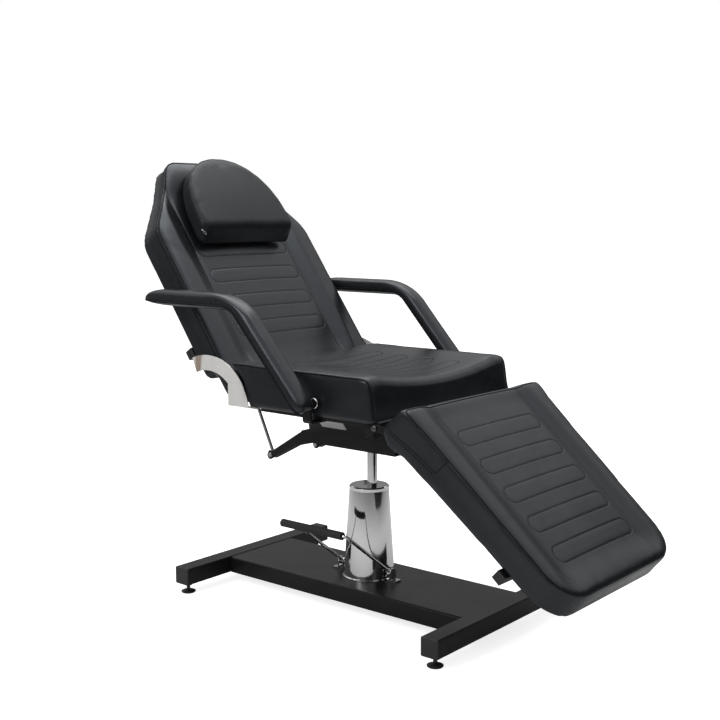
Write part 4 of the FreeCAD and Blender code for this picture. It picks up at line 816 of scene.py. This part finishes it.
LEG_AT = placed((0, -258 + CENTRE_Y, 548), 41.58)
LEG_THICK = 78.0
LEG_FRAME = LEG_AT @ Matrix(((1, 0, 0, 0), (0, -1, 0, 95.7), (0, 0, 1, 104.9),
                             (0, 0, 0, 1)))


LEG_HEAD, LEG_RAKE, LEG_FOOT = 114.0, 6.0, 704.0
LEG_SIDE_ROLL, LEG_HEAD_ROLL, LEG_FOOT_ROLL = 9.0, 24.0, 14.0


def leg_ring(depth, inset):
    head = LEG_HEAD - LEG_RAKE * depth / LEG_THICK + rolled(depth, LEG_HEAD_ROLL)
    side = rolled(depth, LEG_SIDE_ROLL)
    right = [(300 - side, head), (289 - side, 222),
             (270 - side, LEG_FOOT - rolled(depth, LEG_FOOT_ROLL))]
    left = [(-x, s) for x, s in reversed(right)]
    radii = [14, 184, 92]
    points, radii = move_in(right + left, radii + radii[::-1], inset)
    return [Vector((p.x, p.y, -depth)) for p in around(points, radii)]


# how far the side leather hangs down at places along the leg rest
LEG_HANG = ((106, 0), (114, 9), (150, 27), (171, 27), (197, 18), (287, 14), (426, 7),
            (545, 3.5), (640, 0))
LEG_PILLS = [(214 + PITCH * k, 214 + PITCH * k + PILL_HIGH) for k in range(5)]


def leg_shape(co, nor):
    x, s, z = co.T
    top = ease(nor[:, 2], 0.35, 0.9)
    front = ease(z, -34, -5)
    co[:, 2] -= sunk(x, s, (80, 175), (610, 690), 14.0, 5.0) * front
    co[:, 2] += sewn(x, s, LEG_PILLS) * top
    # the side leather hangs below the board, most at the head end
    half = np.interp(s, (113, 222, 704), (300, 289, 270))
    rim = ease(np.abs(x) - half, -15, -9) * ease(-z, 44, 74)
    co[:, 2] -= rim * np.interp(s, *zip(*LEG_HANG))
    return co


def leg_hold(co):
    return ease(co[:, 2], -74, -42)


depths = [SET_IN + LEG_HEAD_ROLL * (k / 9) ** 2 for k in range(10)]
depths += [SET_IN + LEG_HEAD_ROLL + 14.0 * k for k in range(1, 4)]
rings = [leg_ring(depth, SET_IN) for depth in depths]
rings += [leg_ring(LEG_THICK - LOW_ROLL * (1 - math.sin(t)),
                   SET_IN + LOW_ROLL * (1 - math.cos(t))) for t in QUARTER]
leg_pad = soft_pad("leg_pad", closed_form(rings), 7.5, 2.5, leg_hold, leg_shape, LEG_FRAME)
dress(leg_pad, "leg_cushion", "leg_rest")
tree = surface(leg_pad)
trim(stitches("leg_stitching", pill_rows(tree, LEG_FRAME, LEG_PILLS, 0)), "leg_rest")
trim(tube("leg_welt", [edge_line(tree, LEG_FRAME, leg_ring(3.0, 2.0), 0.8)],
          WELT_RADIUS, WELT), "leg_rest")
seams = []
for hand in (-1, 1):
    ends = [[(124, -71), (280, -52)], [(124, -77), (276, -60)], [(285, -10), (281, -52)]]
    for (s0, z0), (s1, z1) in ends:
        line = [Vector((hand * 290, s0 + (s1 - s0) * k / 20, z0 + (z1 - z0) * k / 20))
                for k in range(21)]
        made, normals = on_surface(tree, [LEG_FRAME @ p for p in line], 0.2 * MM)
        seams.append((made, normals, False))
trim(tube("leg_side_seams", seams, 1.2 * MM, WELT, 6), "leg_rest")

# Armrests: padded bars with rounded edges and a pointed rear end, sewn low on both sides

ARM_INNER, ARM_WIDE, ARM_THICK = 316.0, 59.0, 42.0
ARM_TOP, ARM_BEND, ARM_REAR, ARM_FOOT = 852.0, 128.5, 487.0, 591.0
ARM_TOP_RADIUS, ARM_LOW_RADIUS = 180.0, 45.0
TIP_RUN = 100.0
FOOT_ROUND = 20.0
ARM_SQUARE = 3.0
slope = math.radians(47.9)
up_slope = Vector((math.cos(slope), math.sin(slope)))
out_slope = Vector((-up_slope.y, up_slope.x))


def arm_side(corner, radius, start):
    """The side view's line from the foot, round the bend, to the tip's start."""
    reach = radius * math.tan(slope / 2)
    first, last = corner - up_slope * reach, corner + Vector((reach, 0))
    centre = last - Vector((0, radius))
    line = [start.lerp(first, k / 12) for k in range(12)]
    for k in range(13):
        t = math.pi / 2 + slope * (1 - k / 12)
        line.append(centre + Vector((math.cos(t), math.sin(t))) * radius)
    rear = Vector((ARM_REAR - TIP_RUN, last.y))
    line += [last.lerp(rear, k / 12) for k in range(1, 13)]
    return line


def taper(run, length, power, fullness):
    return (1 - (1 - min(1.0, run / length)) ** power) ** fullness


def arm_sections():
    """The bar's sections from foot to tip: middle, out of the bar, half thick, half wide."""
    top_corner = Vector((ARM_BEND, ARM_TOP))
    foot = top_corner - up_slope * ((ARM_TOP - ARM_FOOT) / up_slope.y)
    heel = foot - out_slope * ARM_THICK
    under = ARM_TOP - ARM_THICK
    low_corner = heel + up_slope * ((under - heel.y) / up_slope.y)
    upper = arm_side(top_corner, ARM_TOP_RADIUS, foot)
    lower = arm_side(low_corner, ARM_LOW_RADIUS, heel)
    made = []
    for run in (0.4, 1.5, 3.5, 7.0, 12.0):
        short = FOOT_ROUND - math.sqrt(FOOT_ROUND ** 2 - (FOOT_ROUND - run) ** 2)
        middle = (foot + heel) / 2 + up_slope * run
        made.append((middle, out_slope, ARM_THICK / 2 - short * 0.9, ARM_WIDE / 2 - short * 0.7))
    for a, b in zip(upper[1:], lower[1:]):
        made.append(((a + b) / 2, (a - b).normalized(), (a - b).length / 2, ARM_WIDE / 2))
    for left in (88, 76, 64, 53, 43, 34, 26, 19, 13, 8.5, 5, 2.5, 1):
        tall = ARM_THICK * taper(left, TIP_RUN, 2.4, 0.62)
        low = under + (ARM_THICK - tall) / 4
        made.append((Vector((ARM_REAR - left, low + tall / 2)), Vector((0, 1)), tall / 2,
                     ARM_WIDE / 2 * taper(left, TIP_RUN - 10, 2.2, 0.6)))
    return made


def arm_point(section, angle, hand):
    middle, out, tall, wide = section
    c, n = math.cos(angle), math.sin(angle)
    across = math.copysign(abs(c) ** (2 / ARM_SQUARE), c) * (wide - 0.5)
    place = middle + out * math.copysign(abs(n) ** (2 / ARM_SQUARE), n) * (tall - 0.5)
    return Vector((hand * (ARM_INNER + ARM_WIDE / 2 + across), place.x, place.y))


def arm_hold(co):
    return np.ones(len(co))


sections = arm_sections()
for side, hand in (("right", -1), ("left", 1)):
    rings = [[arm_point(section, 2 * math.pi * k / 40, hand) for k in range(40)]
             for section in sections]
    pad = soft_pad("armrest_pad_" + side, closed_form(rings), 4.5, 1.0, arm_hold,
                   lambda co, nor: co, AT_SEAT)
    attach(pad, "seat")
    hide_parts("armrest_" + side)
    tree = surface(pad)
    lines = []
    for angle in (-14, -31, -149, -166):
        lines.append([arm_point(section, math.radians(angle), hand)
                      for section in sections[1:-1]])
    trim(tube("armrest_welt_" + side, seam_lines(tree, AT_SEAT, lines, 0.4), 1.4 * MM, WELT),
         "seat")

# Head pillow: a half moon with a straight lower side

PILLOW_HALF, PILLOW_LOW, PILLOW_RISE, PILLOW_TOP = 185.0, 375.0, 34.0, 657.0
PILLOW_THICK = 58.0
MOON = 0.92


def pillow_ring(depth, inset):
    foot = PILLOW_LOW + PILLOW_RISE * (1 - depth / PILLOW_THICK)
    tall = PILLOW_TOP - foot
    w = PILLOW_HALF
    points, radii = [(-w, foot), (w, foot)], [26, 26]
    for k in range(14):
        t = math.pi * k / 13
        side, rise = math.cos(t), abs(math.sin(t))
        points.append((math.copysign(w * abs(side) ** MOON, side),
                       foot + 46 + (tall - 46) * rise ** MOON))
        radii.append(80)
    points, radii = move_in(points, radii, inset)
    return [Vector((p.x, p.y, PILLOW_THICK - depth + 0.3))
            for p in around(points, radii, 3, 5)]


def pillow_shape(co, nor):
    x, s, z = co.T
    far = np.hypot(x / PILLOW_HALF, (s - 510) / 150)
    co[:, 2] += 3.0 * (1 - ease(far, 0.0, 1.1)) * ease(z, 20, 50)
    return co


def pillow_hold(co):
    return ease(co[:, 2], 2, 26)


rings = []
for d, i in roll_steps(15.0, 8.0, PILLOW_THICK, 0.0):
    rings.append(pillow_ring(4.0 + d * (PILLOW_THICK - 4.0) / PILLOW_THICK, i + 4.0))
pillow_pad = soft_pad("pillow_pad", closed_form(rings), 5.0, 1.5, pillow_hold,
                      pillow_shape, BACK_FRAME)
pillow_pad.data.materials[0] = PILLOW_LEATHER
dress(pillow_pad, "head_pillow", "backrest")
tree = surface(pillow_pad)
# the arch, without the straight lower side and its corners
arch = pillow_ring(9.0, 5.0)[18:-2]
trim(tube("pillow_welt", seam_lines(tree, BACK_FRAME, [arch], 0.4), 1.4 * MM, PILLOW_LEATHER),
     "backrest")

# a zip pull at the pillow's lower corner
pull = []
for k in range(13):
    t = 2 * math.pi * k / 12
    pull.append(Vector((-PILLOW_HALF + 12 + 5.0 * math.cos(t),
                        PILLOW_LOW + 30 + 11.0 * math.sin(t), 32)))
pull, normals = on_surface(tree, [BACK_FRAME @ p for p in pull[:-1]], 1.2 * MM)
zip_pull = tube("pillow_zip_pull", [(pull, normals, True)], 1.4 * MM, ZINC)
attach(zip_pull, "backrest")

# the washers between the seat and the armrests
for side, hand in (("right", -1), ("left", 1)):
    ring = []
    for k in range(24):
        t = 2 * math.pi * k / 24
        ring.append(Vector((hand * 308, -83 + 11.5 * math.cos(t), 592 + 11.5 * math.sin(t))))
    ring = [AT_SEAT @ p for p in ring]
    washer = tube("arm_washer_" + side, [(ring, [Vector((hand, 0, 0))] * 24, True)],
                  2.2 * MM, CHROME)
    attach(washer, "seat")

# Floor, light and camera

# The floor's tone, its glow to the camera only, and the metres that the whole ramp of
# its tone in reflections stands for
FLOOR_TONE, FLOOR_GLOW, FLOOR_FADE = 0.8, 0.8, 4.0
ROOM_LIGHT = 0.65

floor_data = bpy.data.meshes.new("floor")
far = 14.0
floor_data.from_pydata([(-far, -far, 0), (far, -far, 0), (far, far, 0), (-far, far, 0)],
                       [], [(0, 1, 2, 3)])
floor = bpy.data.objects.new("floor", floor_data)
scene.collection.objects.link(floor)
mat, tree, shader = new_material("floor")
shader.inputs["Roughness"].default_value = 0.9
shader.inputs["Specular IOR Level"].default_value = 0.0
away = node(tree, "ShaderNodeVectorMath", operation="LENGTH")
tree.links.new(object_place(tree), away.inputs[0])
reach = node(tree, "ShaderNodeMath", operation="DIVIDE")
tree.links.new(away.outputs["Value"], reach.inputs[0])
reach.inputs[1].default_value = FLOOR_FADE
# Painted shade in reflections: what glossy rays see of the floor darkens away from its middle.
dimmed = colour_ramp(tree, reach.outputs[0], [(0.3, 0.7), (0.6, 0.3)])
path = tree.nodes.new("ShaderNodeLightPath")
laid_out = node(tree, "ShaderNodeMixRGB", blend_type="MIX")
tree.links.new(path.outputs["Is Glossy Ray"], laid_out.inputs["Fac"])
laid_out.inputs["Color1"].default_value = (FLOOR_TONE, FLOOR_TONE, FLOOR_TONE, 1)
tree.links.new(dimmed, laid_out.inputs["Color2"])
tree.links.new(laid_out.outputs["Color"], shader.inputs["Base Color"])
glow = node(tree, "ShaderNodeEmission", Strength=FLOOR_GLOW)
black = node(tree, "ShaderNodeEmission", Strength=0.0)
pick = tree.nodes.new("ShaderNodeMixShader")
tree.links.new(path.outputs["Is Camera Ray"], pick.inputs["Fac"])
tree.links.new(black.outputs["Emission"], pick.inputs[1])
tree.links.new(glow.outputs["Emission"], pick.inputs[2])
both = tree.nodes.new("ShaderNodeAddShader")
tree.links.new(shader.outputs["BSDF"], both.inputs[0])
tree.links.new(pick.outputs["Shader"], both.inputs[1])
tree.links.new(both.outputs["Shader"], tree.nodes["Material Output"].inputs["Surface"])
floor_data.materials.append(mat)

world = bpy.data.worlds.new("studio")
scene.world = world
world.use_nodes = True
tree = world.node_tree
back = tree.nodes["Background"]
# white to camera and transmission rays; what glossy rays see is dim near the horizon
path = tree.nodes.new("ShaderNodeLightPath")
straight = node(tree, "ShaderNodeMath", operation="MAXIMUM")
tree.links.new(path.outputs["Is Camera Ray"], straight.inputs[0])
tree.links.new(path.outputs["Is Transmission Ray"], straight.inputs[1])
way = tree.nodes.new("ShaderNodeSeparateXYZ")
tree.links.new(tree.nodes.new("ShaderNodeTexCoord").outputs["Generated"], way.inputs["Vector"])
room = colour_ramp(tree, way.outputs["Z"], [(0.1, 0.13), (0.36, 0.36), (0.58, 1.0)])
mirrored = node(tree, "ShaderNodeMixRGB", blend_type="MIX")
tree.links.new(path.outputs["Is Glossy Ray"], mirrored.inputs["Fac"])
mirrored.inputs["Color1"].default_value = (ROOM_LIGHT, ROOM_LIGHT, ROOM_LIGHT, 1)
tree.links.new(room, mirrored.inputs["Color2"])
shown = node(tree, "ShaderNodeMixRGB", blend_type="MIX")
tree.links.new(straight.outputs[0], shown.inputs["Fac"])
tree.links.new(mirrored.outputs["Color"], shown.inputs["Color1"])
shown.inputs["Color2"].default_value = (1, 1, 1, 1)
tree.links.new(shown.outputs["Color"], back.inputs["Color"])
back.inputs["Strength"].default_value = 1.0


def lamp(name, place, aim, size, power):
    data = bpy.data.lights.new(name, "AREA")
    data.shape = "RECTANGLE"
    data.size, data.size_y = size
    data.energy = power
    obj = bpy.data.objects.new(name, data)
    scene.collection.objects.link(obj)
    obj.location = place
    obj.rotation_euler = (Vector(aim) - Vector(place)).to_track_quat("-Z", "Y").to_euler()


lamp("top_light", (0.4, 0.6, 3.0), (0, 0.1, 0.5), (2.4, 2.4), 42)
lamp("side_light", (-3.0, 0.6, 2.4), (0, 0, 0.6), (1.2, 1.6), 30)


def dark_card(name, place, width, high, material):
    """A black or grey panel that only reflections and light see, not the camera."""
    out = Vector((place[0], place[1], 0)).normalized()
    across = Vector((-out.y, out.x, 0)) * width / 2
    middle = Vector((place[0], place[1], 0))
    corners = [middle - across, middle + across]
    data = bpy.data.meshes.new(name)
    data.from_pydata([(*corners[0].xy, 0.0), (*corners[1].xy, 0.0), (*corners[1].xy, high),
                      (*corners[0].xy, high)], [], [(0, 1, 2, 3)])
    card = bpy.data.objects.new(name, data)
    scene.collection.objects.link(card)
    data.materials.append(material)
    card.visible_camera = False


def card_material(name, tone):
    mat, tree, shader = new_material(name)
    shader.inputs["Base Color"].default_value = (tone, tone, tone, 1)
    shader.inputs["Roughness"].default_value = 0.9
    return mat


BLACK_CARD, GREY_CARD = card_material("black_card", 0.02), card_material("grey_card", 0.3)
dark_card("left_card", (-2.6, 1.9), 3.0, 2.2, GREY_CARD)
dark_card("right_card", (2.2, -2.2), 2.6, 1.8, BLACK_CARD)
dark_card("camera_card", (-3.6, -2.9), 2.6, 2.4, BLACK_CARD)
dark_card("near_card", (0.5, -1.9), 1.3, 1.2, BLACK_CARD)

camera_data = bpy.data.cameras.new("camera")
camera_data.lens = 58.3
camera_data.sensor_width = 36.0
camera_data.clip_end = 60.0
camera = bpy.data.objects.new("camera", camera_data)
camera.location = (-2.3965, -1.906, 1.0588)
camera.rotation_euler = (math.radians(82.67), math.radians(0.06), math.radians(-50.46))
scene.collection.objects.link(camera)
scene.camera = camera
scene.view_settings.view_transform = "Standard"
